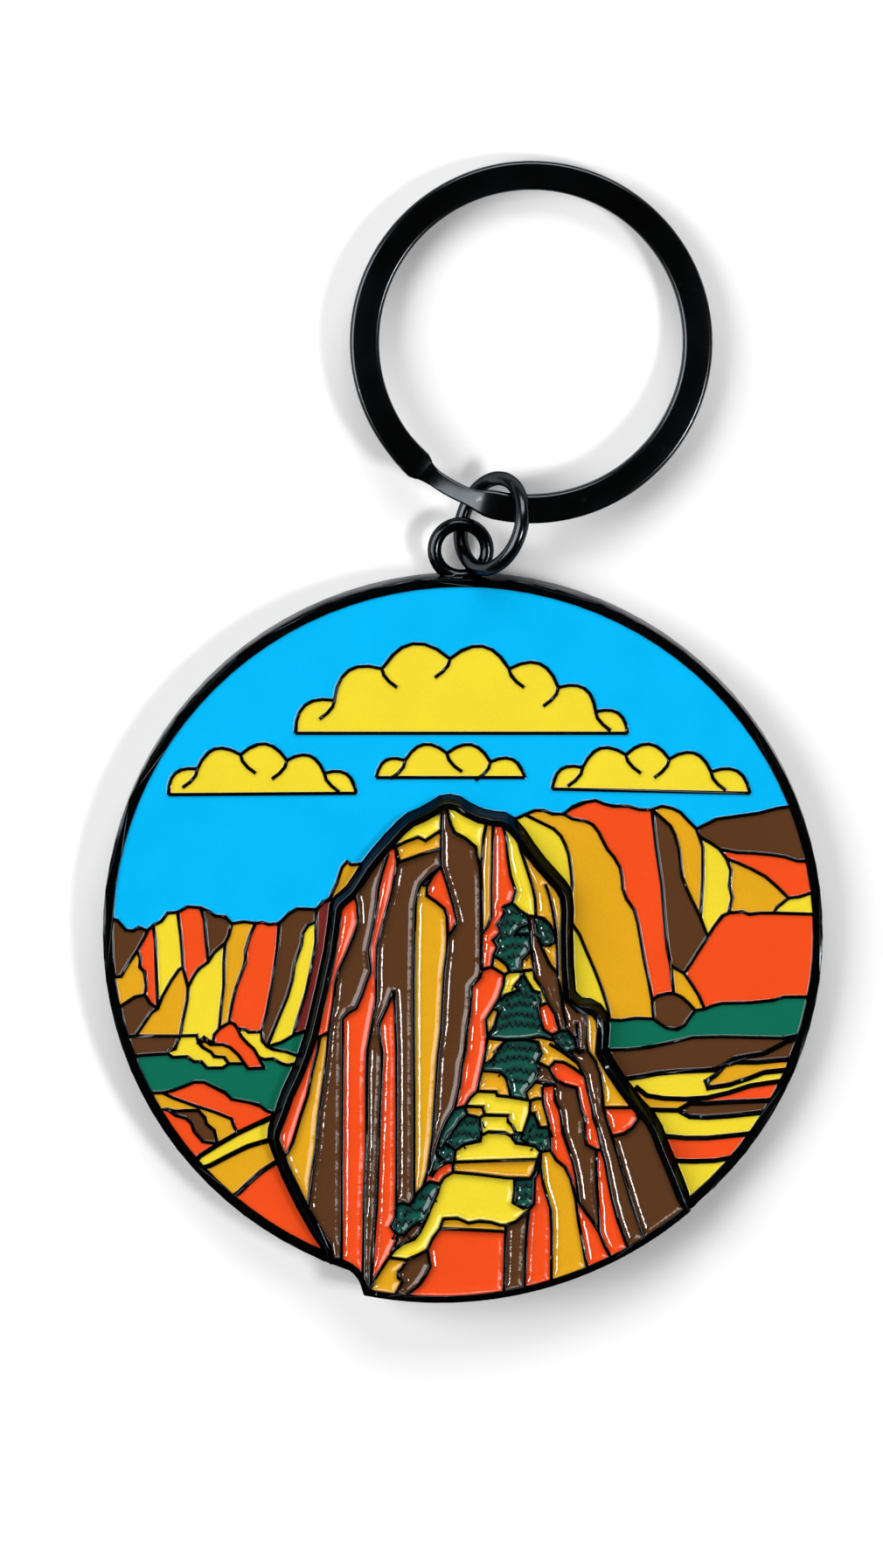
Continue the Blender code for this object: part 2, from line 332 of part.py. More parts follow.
# Clouds: corners joined by round lobes, left to right, over a flat foot
CLOUDS = [
    [(-11.6, 14.1), (-8.9, 16.4), (-5.6, 18.6), (-0.9, 19.3), (3.2, 18.6), (6.6, 17.3), (9.2, 15.6),
     (11.4, 14.1)],
    [(-20.4, 9.8), (-18.4, 11.6), (-15.4, 12.6), (-12.2, 12.2), (-9.6, 11.3), (-7.4, 9.9)],
    [(-6.0, 11.0), (-4.0, 12.2), (-1.1, 12.7), (1.9, 12.1), (4.3, 11.0)],
    [(6.2, 10.2), (8.3, 11.7), (11.3, 12.6), (14.3, 12.3), (17.2, 11.4), (19.9, 9.9)],
]
LOBE_BULGE = 0.3         # height of a lobe over its chord
LOBE_STEPS = 6
STROKE = 1.3

# Enamel fills: name, a point inside the cell, colour. Cells not named here are too small for a piece.
BASE_FILLS = [
    ("enamel_sky", (0.0, 22.5), SKY),
    ("enamel_cloud_upper", (-1.0, 16.0), YELLOW),
    ("enamel_cloud_left", (-14.0, 10.4), YELLOW),
    ("enamel_cloud_middle", (-1.0, 11.4), YELLOW),
    ("enamel_cloud_right", (13.0, 10.6), YELLOW),
    ("enamel_left_spire", (-8.2, 4.2), GOLD),
    ("enamel_left_mesa_brown_outer", (-23.5, -1.0), BROWN),
    ("enamel_left_mesa_gold_outer", (-23.0, -3.2), GOLD),
    ("enamel_left_mesa_orange_outer", (-21.7, -2.0), ORANGE),
    ("enamel_left_mesa_yellow_outer", (-20.4, -1.0), YELLOW),
    ("enamel_left_mesa_gold_foot", (-20.4, -5.5), GOLD),
    ("enamel_left_mesa_orange_middle", (-18.8, 0.5), ORANGE),
    ("enamel_left_mesa_brown_middle", (-17.2, 0.2), BROWN),
    ("enamel_left_mesa_yellow_middle", (-17.8, -4.5), YELLOW),
    ("enamel_left_mesa_gold_inner", (-15.8, -0.5), GOLD),
    ("enamel_left_mesa_orange_inner", (-14.4, -3.0), ORANGE),
    ("enamel_left_mesa_brown_inner", (-12.2, -1.5), BROWN),
    ("enamel_left_mesa_maroon", (-9.95, -0.5), MAROON),
    ("enamel_left_meadow", (-19.0, -9.8), GREEN),
    ("enamel_left_field_orange", (-16.5, -12.3), ORANGE),
    ("enamel_left_rock_orange", (-19.3, -14.0), ORANGE),
    ("enamel_left_strata_gold", (-15.5, -16.5), GOLD),
    ("enamel_left_strata_orange", (-13.0, -18.5), ORANGE),
    ("enamel_right_mesa_yellow_upper", (6.0, 6.5), YELLOW),
    ("enamel_right_mesa_gold", (9.6, 2.0), GOLD),
    ("enamel_right_mesa_orange", (12.2, 5.0), ORANGE),
    ("enamel_right_mesa_brown", (15.2, 1.0), BROWN),
    ("enamel_right_mesa_gold_narrow", (15.8, 5.0), GOLD),
    ("enamel_right_mesa_yellow_middle", (17.6, 3.5), YELLOW),
    ("enamel_right_hill_brown", (20.5, 7.2), BROWN),
    ("enamel_right_hill_orange", (22.3, 4.5), ORANGE),
    ("enamel_right_hill_gold", (19.9, 3.0), GOLD),
    ("enamel_right_plain_orange", (20.5, -2.0), ORANGE),
    ("enamel_right_meadow", (19.0, -6.0), GREEN),
    ("enamel_right_field_brown", (14.5, -8.8), BROWN),
    ("enamel_right_strata_yellow_lower", (17.0, -13.6), YELLOW),
]
RELIEF_FILLS = [
    ("enamel_cliff_brown_left", (-9.0, -12.0), BROWN),
    ("enamel_cliff_gold_left", (-10.6, -14.5), GOLD),
    ("enamel_cliff_orange_left", (-7.5, -12.0), ORANGE),
    ("enamel_cliff_orange_seam", (-5.2, -12.0), ORANGE),
    ("enamel_cliff_brown_front", (-4.0, -1.0), BROWN),
    ("enamel_cliff_gold_front", (-2.4, -5.0), GOLD),
    ("enamel_cliff_brown_middle", (0.0, -1.0), BROWN),
    ("enamel_cliff_orange_middle", (0.9, -8.0), ORANGE),
    ("enamel_cliff_yellow_right", (4.0, 4.5), YELLOW),
    ("enamel_pine_upper", (3.2, -0.5), PINE),
    ("enamel_pine_lower", (4.0, -5.5), PINE),
    ("enamel_bush", (3.8, -9.0), PINE),
    ("enamel_ledge_yellow", (1.0, -18.5), YELLOW),
    ("enamel_cliff_foot_orange", (0.5, -23.0), ORANGE),
    ("enamel_cliff_foot_gold", (7.0, -20.5), GOLD),
    ("enamel_cliff_foot_brown", (8.5, -17.0), BROWN),
    ("enamel_cliff_brown_streak", (10.5, -17.0), BROWN),
    ("enamel_cliff_brown_right", (12.8, -17.0), BROWN),
]

# Jump ring: round wire bent to a circle, its ends butted
JUMP_RADIUS = 3.2
JUMP_WIRE = 1.0
JUMP_CENTRE = (1.97, 28.73, 3.11)
JUMP_AXIS_HEADING = 159.56    # the way its axis leans, degrees from +X: the right-hand side stands up
JUMP_AXIS_LEAN = 52.76        # from vertical
JUMP_SEAM = -51.0             # where its ends meet, degrees round from its lowest point
JUMP_SIDES = 44
SEAM_GAP = 0.06

# Split ring: flat wire in two coils
SPLIT_RADIUS = 11.5
SPLIT_WIDTH = 2.0
SPLIT_THICK = 0.88
SPLIT_PITCH = 0.93
SPLIT_CENTRE = (4.7, 41.2, 1.945)
SPLIT_LEAN = 4.67             # lifted on the side of the jump ring
LOWER_END = -98.0             # degrees along the wire, counter-clockwise from +X
STEP_START = 230.0
STEP_END = 256.0
UPPER_END = 590.0
SPRUNG_LENGTH = 90.0
SPLIT_STEP = 7.5              # degrees between two points of the wire
PARTING_GAP = 0.2             # between the coil and the length that springs

# Hinges, as points on their axes. Both run level, across the line from the eye to the split ring.
EYE_HINGE = (0.431, 28.480, 1.9)      # middle of the eye's far wall
LINK_HINGE = (1.041, 30.298, 2.88)    # middle of the coil's wire inside the jump ring


def clear_scene():
    for thing in list(bpy.data.objects):
        bpy.data.objects.remove(thing, do_unlink=True)


def collection(name):
    made = bpy.data.collections.new(name)
    bpy.context.scene.collection.children.link(made)
    return made


def enamel(name, colour):
    return material(name, colour, 0.12, 0.0)


def material(name, colour, roughness, metallic):
    found = bpy.data.materials.get(name)
    if found:
        return found
    made = bpy.data.materials.new(name)
    made.use_nodes = True
    shader = made.node_tree.nodes["Principled BSDF"]
    shader.inputs["Base Color"].default_value = (*colour, 1.0)
    shader.inputs["Roughness"].default_value = roughness
    shader.inputs["Metallic"].default_value = metallic
    return made


def object_from(name, mesh, home, finish=None):
    """An object of the finished bmesh, in millimetres until here."""
    bmesh.ops.scale(mesh, vec=(MM, MM, MM), verts=mesh.verts)
    bmesh.ops.recalc_face_normals(mesh, faces=mesh.faces)
    data = bpy.data.meshes.new(name)
    mesh.to_mesh(data)
    mesh.free()
    made = bpy.data.objects.new(name, data)
    home.objects.link(made)
    if finish:
        data.materials.append(finish)
    return made


def raise_faces(mesh, height):
    """Closes flat faces into a solid of this height above them."""
    risen = bmesh.ops.extrude_face_region(mesh, geom=mesh.faces[:])["geom"]
    corners = [part for part in risen if isinstance(part, bmesh.types.BMVert)]
    bmesh.ops.translate(mesh, verts=corners, vec=(0, 0, height))
    return corners


def prism(outline, low, high):
    mesh = bmesh.new()
    mesh.faces.new([mesh.verts.new((x, y, low)) for x, y in outline])
    raise_faces(mesh, high - low)
    return mesh


def disc(radius, low, high):
    mesh = bmesh.new()
    bmesh.ops.create_cone(
        mesh, cap_ends=True, segments=DISC_SIDES, radius1=radius, radius2=radius, depth=high - low,
        matrix=Matrix.Translation((0, 0, (low + high) / 2)),
    )
    return mesh


def arc(centre, radius, angles, steps):
    start, end = map(math.radians, angles)
    turns = [start + (end - start) * i / steps for i in range(steps + 1)]
    return [(centre[0] + radius * math.cos(t), centre[1] + radius * math.sin(t)) for t in turns]


def relief_foot():
    """The relief's outline where it leaves the flat part, counter-clockwise, and its draft there."""
    overhang = arc(OVERHANG_CENTRE, OVERHANG_RADIUS, OVERHANG_ANGLES, 24)
    notch = arc(NOTCH_CENTRE, NOTCH_RADIUS, NOTCH_ANGLES, 6)
    sides = RELIEF_RIGHT[::-1] + RELIEF_LEFT[::-1]
    outline = overhang + sides + notch
    drafts = [0.1] * len(overhang) + [DRAFT] * len(sides) + [0.1] * len(notch)
    return outline, drafts


def inset(outline, distances):
    """The outline moved in by a distance at each corner. It runs counter-clockwise."""
    moved = []
    for i, distance in enumerate(distances):
        before, here, after = (Vector(outline[(i + k) % len(outline)]) for k in (-1, 0, 1))
        into = (here - before).normalized().orthogonal()
        out_of = (after - here).normalized().orthogonal()
        halfway = (into + out_of).normalized()
        reach = distance / max(halfway.dot(into), 0.6)
        moved.append(tuple(here + halfway * reach))
    return moved


def relief_block():
    """A prism up to the flat part's rim, then sides that slope in to the relief's top."""
    outline, drafts = relief_foot()
    mesh = prism(outline, 0.0, RIM_TOP)
    top = max(mesh.faces, key=lambda face: face.calc_center_median().z)
    lifted = bmesh.ops.extrude_face_region(mesh, geom=[top])["geom"]
    bmesh.ops.delete(mesh, geom=[top], context="FACES_ONLY")
    upper = {(round(x, 4), round(y, 4)): spot for (x, y), spot in zip(outline, inset(outline, drafts))}
    for corner in (part for part in lifted if isinstance(part, bmesh.types.BMVert)):
        x, y = upper[round(corner.co.x, 4), round(corner.co.y, 4)]
        corner.co = (x, y, RELIEF_TOP)
    return mesh


def line_wall(spots, width, low, high):
    """A wall along a drawn line: a strip of quads, raised."""
    mesh = bmesh.new()
    rails = []
    for i, here in enumerate(spots):
        legs = [b - a for a, b in zip(spots[max(i - 1, 0):], spots[max(i, 1):i + 2])]
        sides = [leg.normalized().orthogonal() for leg in legs]
        across = sum(sides, Vector((0, 0))).normalized()
        reach = width / 2 / across.dot(sides[0])
        rails.append([mesh.verts.new((*(here + across * reach * s), low)) for s in (-1, 1)])
    for (a, b), (c, d) in zip(rails, rails[1:]):
        mesh.faces.new((a, c, d, b))
    raise_faces(mesh, high - low)
    return mesh


def lobes(corners):
    """The round lobes of a cloud, one bulging arc from each corner to the next."""
    path = [corners[0]]
    for start, end in zip(corners, corners[1:]):
        a, b = Vector(start), Vector(end)
        rise = (b - a).orthogonal() * LOBE_BULGE
        for i in range(1, LOBE_STEPS + 1):
            t = i / LOBE_STEPS
            path.append(tuple(a.lerp(b, t) + rise * 4 * t * (1 - t)))
    return path


def cloud_lines():
    """Each cloud's outline, with a short curved stroke running down from every notch between lobes."""
    lines = []
    for corners in CLOUDS:
        lines.append(lobes(corners))
        lines.append([corners[0], corners[-1]])
        for i, (x, y) in enumerate(corners[1:-1]):
            side = 1 if i % 2 else -1
            lines.append([(x + STROKE * side * t * t * 0.8, y - STROKE * t) for t in (0.0, 0.35, 0.7, 1.0)])
    return lines


def base_lines():
    fine = SKYLINE + LEFT_MESA + LEFT_ROCKS + LEFT_FIELDS + RIGHT_MESA + RIGHT_FIELDS + cloud_lines()
    return [(line, FINE) for line in fine] + [(line, BOLD) for line in LEFT_STRATA + RIGHT_STRATA]


def relief_lines():
    return [(line, FINE) for line in CLIFF_TOP + CLIFF_STRIPES + CLIFF_RIGHT + CLIFF_LEDGES + TREES]


def combine(target, operation, operand):
    """An applied exact boolean with one object, or with every object of a collection."""
    cut = target.modifiers.new("cut", "BOOLEAN")
    cut.operation = operation
    cut.solver = "EXACT"
    if isinstance(operand, bpy.types.Collection):
        cut.operand_type = "COLLECTION"
        cut.collection = operand
    else:
        cut.object = operand
    shape = bpy.data.meshes.new_from_object(target.evaluated_get(bpy.context.evaluated_depsgraph_get()))
    target.modifiers.remove(cut)
    target.data = shape


def straight_runs(points, reach):
    """The line broken where it turns sharply, each side of the break run on by reach."""
    spots = [Vector(point) for point in points]
    runs = [[spots[0]]]
    for before, here, after in zip(spots, spots[1:], spots[2:]):
        into, out_of = (here - before).normalized(), (after - here).normalized()
        if into.dot(out_of) > SHARP:
            runs[-1].append(here)
        else:
            runs[-1].append(here + into * reach)
            runs.append([here - out_of * reach])
    runs[-1].append(spots[-1])
    return runs


def wall_group(name, lines, margin, low, high):
    group = collection(name)
    for points, width in lines:
        thick = width + 2 * margin
        for run in straight_runs(points, thick / 2):
            wall = object_from(name + "_wall", line_wall(run, thick, low, high), group)
            hide_cutter(wall)
    return group


def hide_cutter(cutter):
    cutter.hide_render = True
    cutter.display_type = "WIRE"


def cells(name, body, lines, margin, low, high, cutters):
    """What is left of a solid between the drawn lines: every cell a separate body of one mesh."""
    left = object_from(name, body, cutters)
    hide_cutter(left)
    walls = wall_group(name + "_lines", lines, margin, low - OVERSHOOT, high + OVERSHOOT)
    bpy.context.view_layer.update()
    combine(left, "DIFFERENCE", walls)
    return left


def base_cells(name, margin, low, high, cutters):
    body = object_from(name + "_body", disc(DISC_RADIUS - RIM_WIDTH - margin, low, high), cutters)
    outline, _ = relief_foot()
    clear = inset(outline, [-(0.02 + margin)] * len(outline))
    keep = object_from(name + "_relief", prism(clear, low - OVERSHOOT, high + OVERSHOOT), cutters)
    for cutter in (body, keep):
        hide_cutter(cutter)
    bpy.context.view_layer.update()
    combine(body, "DIFFERENCE", keep)
    mesh = bmesh.new()
    mesh.from_mesh(body.data)
    bmesh.ops.scale(mesh, vec=(1 / MM, 1 / MM, 1 / MM), verts=mesh.verts)
    return cells(name, mesh, base_lines(), margin, low, high, cutters)


def relief_cells(name, margin, low, high, cutters):
    outline, drafts = relief_foot()
    inner = inset(outline, [draft + RELIEF_RIM + margin for draft in drafts])
    return cells(name, prism(inner, low, high), relief_lines(), margin, low, high, cutters)


def medallion_casting(parts, cutters, finish):
    casting = object_from("medallion_casting", disc(DISC_RADIUS, 0.0, RIM_TOP), parts, finish)
    relief = object_from("relief_block", relief_block(), cutters)
    bpy.ops.mesh.primitive_torus_add(
        location=(EYE_CENTRE[0] * MM, EYE_CENTRE[1] * MM, EYE_HEIGHT * MM),
        major_radius=EYE_RADIUS * MM, minor_radius=EYE_WIRE * MM,
        major_segments=32, minor_segments=12,
    )
    eye = bpy.context.object
    eye.name = "eye_ring"
    base = base_cells("base_recesses", 0.0, BASE_FLOOR, RIM_TOP + OVERSHOOT, cutters)
    raised = relief_cells("relief_recesses", 0.0, RELIEF_FLOOR, RELIEF_TOP + OVERSHOOT, cutters)
    for cutter in (relief, eye):
        hide_cutter(cutter)
    bpy.context.view_layer.update()
    for operation, operand in (
        ("UNION", relief), ("UNION", eye), ("DIFFERENCE", base), ("DIFFERENCE", raised),
    ):
        combine(casting, operation, operand)
    return casting


def loose_bodies(mesh):
    """The faces of each separate body of the mesh."""
    waiting = set(mesh.faces)
    bodies = []
    while waiting:
        body = {waiting.pop()}
        edge = list(body)
        while edge:
            for side in edge.pop().edges:
                fresh = [face for face in side.link_faces if face in waiting]
                waiting.difference_update(fresh)
                body.update(fresh)
                edge.extend(fresh)
        bodies.append(body)
    return bodies


def pour(fills, source, parts):
    """One object for each named cell."""
    mesh = bmesh.new()
    mesh.from_mesh(source.data)
    mesh.faces.ensure_lookup_table()
    tree = BVHTree.FromBMesh(mesh)
    body_of = {face.index: body for body in loose_bodies(mesh) for face in body}
    above = 10 * MM
    for name, (x, y), colour in fills:
        _, _, index, _ = tree.ray_cast(Vector((x * MM, y * MM, above)), Vector((0, 0, -1)))
        if index is None:
            raise ValueError(f"{name}: no cell at its point")
        body = body_of[index]
        piece = bmesh.new()
        new = {corner: piece.verts.new(corner.co / MM) for corner in {v for f in body for v in f.verts}}
        for face in body:
            piece.faces.new([new[corner] for corner in face.verts])
        object_from(name, piece, parts, enamel(ENAMEL_NAMES[colour], colour))
    mesh.free()


def swept(name, path, home, finish, section=None):
    """A closed body swept along a path: round wire, or a section of its own kept upright."""
    line = bpy.data.curves.new(name, "CURVE")
    line.dimensions = "3D"
    line.use_fill_caps = True
    if section:
        line.bevel_mode = "OBJECT"
        line.bevel_object = section
        line.twist_mode = "Z_UP"
    else:
        line.bevel_depth = JUMP_WIRE / 2
        line.bevel_resolution = 4
    spline = line.splines.new("POLY")
    spline.points.add(len(path) - 1)
    for point, spot in zip(spline.points, path):
        point.co = (*spot, 1.0)
    shape = bpy.data.objects.new(name + "_path", line)
    home.objects.link(shape)
    bpy.context.view_layer.update()
    placed = shape.evaluated_get(bpy.context.evaluated_depsgraph_get())
    solid = bmesh.new()
    solid.from_mesh(bpy.data.meshes.new_from_object(placed))
    bpy.data.objects.remove(shape, do_unlink=True)
    bmesh.ops.remove_doubles(solid, verts=solid.verts, dist=1e-4)
    made = object_from(name, solid, home, finish)
    made.data.shade_smooth()
    made.data.set_sharp_from_angle(angle=math.radians(40))
    return made


def flat_wire_section(cutters):
    """The flat wire's rectangle, its long side across the ring."""
    line = bpy.data.curves.new("flat_wire", "CURVE")
    line.dimensions = "2D"
    spline = line.splines.new("POLY")
    spline.points.add(3)
    for point, (x, y) in zip(spline.points, ((-1, -1), (1, -1), (1, 1), (-1, 1))):
        point.co = (x * SPLIT_WIDTH / 2, y * SPLIT_THICK / 2, 0.0, 1.0)
    spline.use_cyclic_u = True
    section = bpy.data.objects.new("flat_wire", line)
    cutters.objects.link(section)
    section.hide_render = True
    return section


def hang(piece, pivot, frame):
    """Puts a piece in its place under an empty on its hinge."""
    hinge = bpy.data.objects.new(piece.name + "_hinge", None)
    hinge.location = Vector(pivot) * MM
    piece.users_collection[0].objects.link(hinge)
    frame.translation *= MM
    piece.parent = hinge
    piece.matrix_parent_inverse = Matrix.Translation(hinge.location).inverted()
    piece.matrix_basis = frame


def jump_ring(parts, finish):
    half_gap = math.degrees(SEAM_GAP / 2 / JUMP_RADIUS)
    path = arc(
        (0.0, 0.0), JUMP_RADIUS, (JUMP_SEAM + half_gap, JUMP_SEAM + 360.0 - half_gap), JUMP_SIDES,
    )
    ring = swept("jump_ring", [(x, y, 0.0) for x, y in path], parts, finish)
    turn = (
        Matrix.Rotation(math.radians(JUMP_AXIS_HEADING), 4, "Z")
        @ Matrix.Rotation(math.radians(JUMP_AXIS_LEAN), 4, "Y")
    )
    hang(ring, EYE_HINGE, Matrix.Translation(JUMP_CENTRE) @ turn)


def wire_spot(along):
    """A point of the flat wire's centre line, in the ring's own frame."""
    climb = min(max((along - STEP_START) / (STEP_END - STEP_START), 0.0), 1.0)
    level = climb * climb * (3 - 2 * climb) - 0.5
    turn = math.radians(along)
    return (SPLIT_RADIUS * math.cos(turn), SPLIT_RADIUS * math.sin(turn), SPLIT_PITCH * level)


def wire_path(start, end):
    count = round((end - start) / SPLIT_STEP)
    return [wire_spot(start + (end - start) * i / count) for i in range(count + 1)]


def split_ring(parts, cutters, finish):
    """The coil, and apart from it the length of its upper end that springs away."""
    section = flat_wire_section(cutters)
    parting = UPPER_END - SPRUNG_LENGTH
    gap = math.degrees(PARTING_GAP / SPLIT_RADIUS)
    coil = swept("split_ring", wire_path(LOWER_END, parting - gap), parts, finish, section)
    sprung = swept("split_ring_free_end", wire_path(parting, UPPER_END), parts, finish, section)
    toward_eye = Vector((*EYE_CENTRE, 0.0)) - Vector((*SPLIT_CENTRE[:2], 0.0))
    across = toward_eye.cross(Vector((0, 0, 1)))
    frame = Matrix.Translation(SPLIT_CENTRE) @ Matrix.Rotation(math.radians(SPLIT_LEAN), 4, across)
    root = Vector(wire_spot(parting)) + Vector((0, 0, SPLIT_THICK / 2))
    hang(sprung, frame @ root, frame.copy())
    hang(coil, LINK_HINGE, frame)


def main():
    clear_scene()
    parts = collection("keychain")
    cutters = collection("cutters")
    plating = material("black_nickel", METAL, 0.22, 1.0)
    medallion_casting(parts, cutters, plating)
    base = base_cells("base_fills", GAP, BASE_FLOOR + GAP, BASE_FILL_TOP, cutters)
    pour(BASE_FILLS, base, parts)
    raised = relief_cells("relief_fills", GAP, RELIEF_FLOOR + GAP, RELIEF_FILL_TOP, cutters)
    pour(RELIEF_FILLS, raised, parts)
    jump_ring(parts, plating)
    split_ring(parts, cutters, plating)


main()
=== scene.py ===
import json
import math
import random

import bmesh
import bpy
import numpy as np
from mathutils import Matrix, Vector, geometry


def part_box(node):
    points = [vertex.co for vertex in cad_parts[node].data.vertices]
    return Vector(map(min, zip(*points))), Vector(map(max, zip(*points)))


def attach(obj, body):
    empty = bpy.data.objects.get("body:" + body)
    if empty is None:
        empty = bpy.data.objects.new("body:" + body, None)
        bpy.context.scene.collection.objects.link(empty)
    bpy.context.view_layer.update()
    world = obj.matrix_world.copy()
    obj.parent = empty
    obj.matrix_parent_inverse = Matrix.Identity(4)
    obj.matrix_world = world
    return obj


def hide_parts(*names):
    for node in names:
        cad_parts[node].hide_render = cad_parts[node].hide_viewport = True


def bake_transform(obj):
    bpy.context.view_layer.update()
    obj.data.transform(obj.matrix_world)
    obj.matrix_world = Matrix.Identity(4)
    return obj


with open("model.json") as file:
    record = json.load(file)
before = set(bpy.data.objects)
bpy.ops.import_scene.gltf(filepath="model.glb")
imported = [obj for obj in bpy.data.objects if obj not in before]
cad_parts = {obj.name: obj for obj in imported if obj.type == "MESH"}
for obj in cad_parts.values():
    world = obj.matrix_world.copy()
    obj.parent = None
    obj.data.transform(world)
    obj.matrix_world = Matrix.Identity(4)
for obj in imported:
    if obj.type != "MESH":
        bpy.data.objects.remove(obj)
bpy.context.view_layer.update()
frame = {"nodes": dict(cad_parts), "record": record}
nodes = frame["nodes"]
MM = 0.001


# The medallion's casting: zinc alloy die-cast in one piece with its hanging eye, tumbled, then
# plated black nickel. Every line of the picture is a thin cast wall with rounded shoulders.

# Levels of the casting above its back face, and other sizes, in millimetres
RIM_TOP = 3.0
RELIEF_TOP = 4.2
BASE_FLOOR = 2.45
RELIEF_FLOOR = 3.55
DISC_RADIUS = 25.0
DISC_EDGE_ROUNDING = 0.22
SHOULDER_STEPS = ((0.03, 0.03), (0.04, 0.004))   # in from the edge of a wall's top, and up


def bare_copy(node, name):
    """A copy of a CAD node's shape with its corners merged."""
    shape = bpy.data.objects.new(name, nodes[node].data.copy())
    shape.data.materials.clear()
    bpy.context.scene.collection.objects.link(shape)
    work_on(shape)
    bpy.ops.mesh.select_all(action="SELECT")
    bpy.ops.mesh.remove_doubles(threshold=0.002 * MM)
    bpy.ops.object.mode_set(mode="OBJECT")
    return shape


def work_on(shape):
    """Opens one object for editing, with nothing of it selected."""
    bpy.ops.object.select_all(action="DESELECT")
    bpy.context.view_layer.objects.active = shape
    shape.select_set(True)
    bpy.ops.object.mode_set(mode="EDIT")
    bpy.ops.mesh.select_mode(type="FACE")
    bpy.ops.mesh.select_all(action="DESELECT")


def pick_faces(shape, wanted):
    """Selects the faces that a test picks out."""
    mesh = bmesh.from_edit_mesh(shape.data)
    for face in mesh.faces:
        if wanted(face):
            face.select_set(True)
    bmesh.update_edit_mesh(shape.data)


def lies_flat_at(level):
    def test(face):
        return face.normal.z > 0.99 and abs(face.calc_center_median().z / MM - level) < 0.02
    return test


def step_in(width, rise):
    """Insets the selected faces as one sheet, in millimetres."""
    bpy.ops.mesh.inset(
        thickness=width * MM, depth=rise * MM, use_boundary=True, use_even_offset=False,
    )


def smooth(shape, degrees):
    bpy.ops.object.select_all(action="DESELECT")
    bpy.context.view_layer.objects.active = shape
    shape.select_set(True)
    bpy.ops.object.shade_smooth_by_angle(angle=math.radians(degrees))


def round_disc_edges(shape):
    """Rounds the outer corners of the disc, front and back."""
    work_on(shape)
    bpy.ops.mesh.select_mode(type="EDGE")
    mesh = bmesh.from_edit_mesh(shape.data)
    for edge in mesh.edges:
        ends = [corner.co / MM for corner in edge.verts]
        on_rim = all(abs(end.xy.length - DISC_RADIUS) < 0.03 for end in ends)
        level = all(min(abs(end.z), abs(end.z - RIM_TOP)) < 0.01 for end in ends)
        edge.select_set(on_rim and level and abs(ends[0].z - ends[1].z) < 0.01)
    bmesh.update_edit_mesh(shape.data)
    bpy.ops.mesh.bevel(offset=DISC_EDGE_ROUNDING * MM, segments=3, profile=0.5, clamp_overlap=True)
    bpy.ops.object.mode_set(mode="OBJECT")


def cast_mottle_group():
    """Plating over a tumbled casting: fine pits, cloudy gloss and paler worn spots."""
    group = bpy.data.node_groups.new("plating_wear", "ShaderNodeTree")
    for name, kind, value in (
        ("Plating", "NodeSocketColor", (0.03, 0.034, 0.038, 1.0)),
        ("Rubbed", "NodeSocketColor", (0.22, 0.22, 0.22, 1.0)),
        ("Gloss", "NodeSocketFloat", 0.2),
        ("Grain", "NodeSocketFloat", 2600.0),
    ):
        group.interface.new_socket(name, in_out="INPUT", socket_type=kind).default_value = value
    for name, kind in (
        ("Color", "NodeSocketColor"), ("Roughness", "NodeSocketFloat"), ("Height", "NodeSocketFloat"),
    ):
        group.interface.new_socket(name, in_out="OUTPUT", socket_type=kind)
    tree = group.nodes
    inlet, outlet = tree.new("NodeGroupInput"), tree.new("NodeGroupOutput")
    place = tree.new("ShaderNodeTexCoord")
    pits, clouds, rubs = (tree.new("ShaderNodeTexNoise") for _ in range(3))
    clouds.inputs["Scale"].default_value = 160.0
    clouds.inputs["Detail"].default_value = 4.0
    rubs.inputs["Scale"].default_value = 900.0
    rubs.inputs["Detail"].default_value = 6.0
    pits.inputs["Detail"].default_value = 3.0
    spots = tree.new("ShaderNodeMapRange")
    spots.inputs["From Min"].default_value = 0.66
    spots.inputs["From Max"].default_value = 0.8
    tint = tree.new("ShaderNodeMix")
    tint.data_type = "RGBA"
    dull = tree.new("ShaderNodeMath")
    dull.operation = "MULTIPLY_ADD"
    dull.inputs[1].default_value = 0.16
    link = group.links.new
    for noise in (pits, clouds, rubs):
        link(place.outputs["Object"], noise.inputs["Vector"])
    link(inlet.outputs["Grain"], pits.inputs["Scale"])
    link(rubs.outputs["Fac"], spots.inputs["Value"])
    link(spots.outputs["Result"], tint.inputs["Factor"])
    link(inlet.outputs["Plating"], tint.inputs["A"])
    link(inlet.outputs["Rubbed"], tint.inputs["B"])
    link(clouds.outputs["Fac"], dull.inputs[0])
    link(inlet.outputs["Gloss"], dull.inputs[2])
    link(tint.outputs["Result"], outlet.inputs["Color"])
    link(dull.outputs["Value"], outlet.inputs["Roughness"])
    link(pits.outputs["Fac"], outlet.inputs["Height"])
    return group


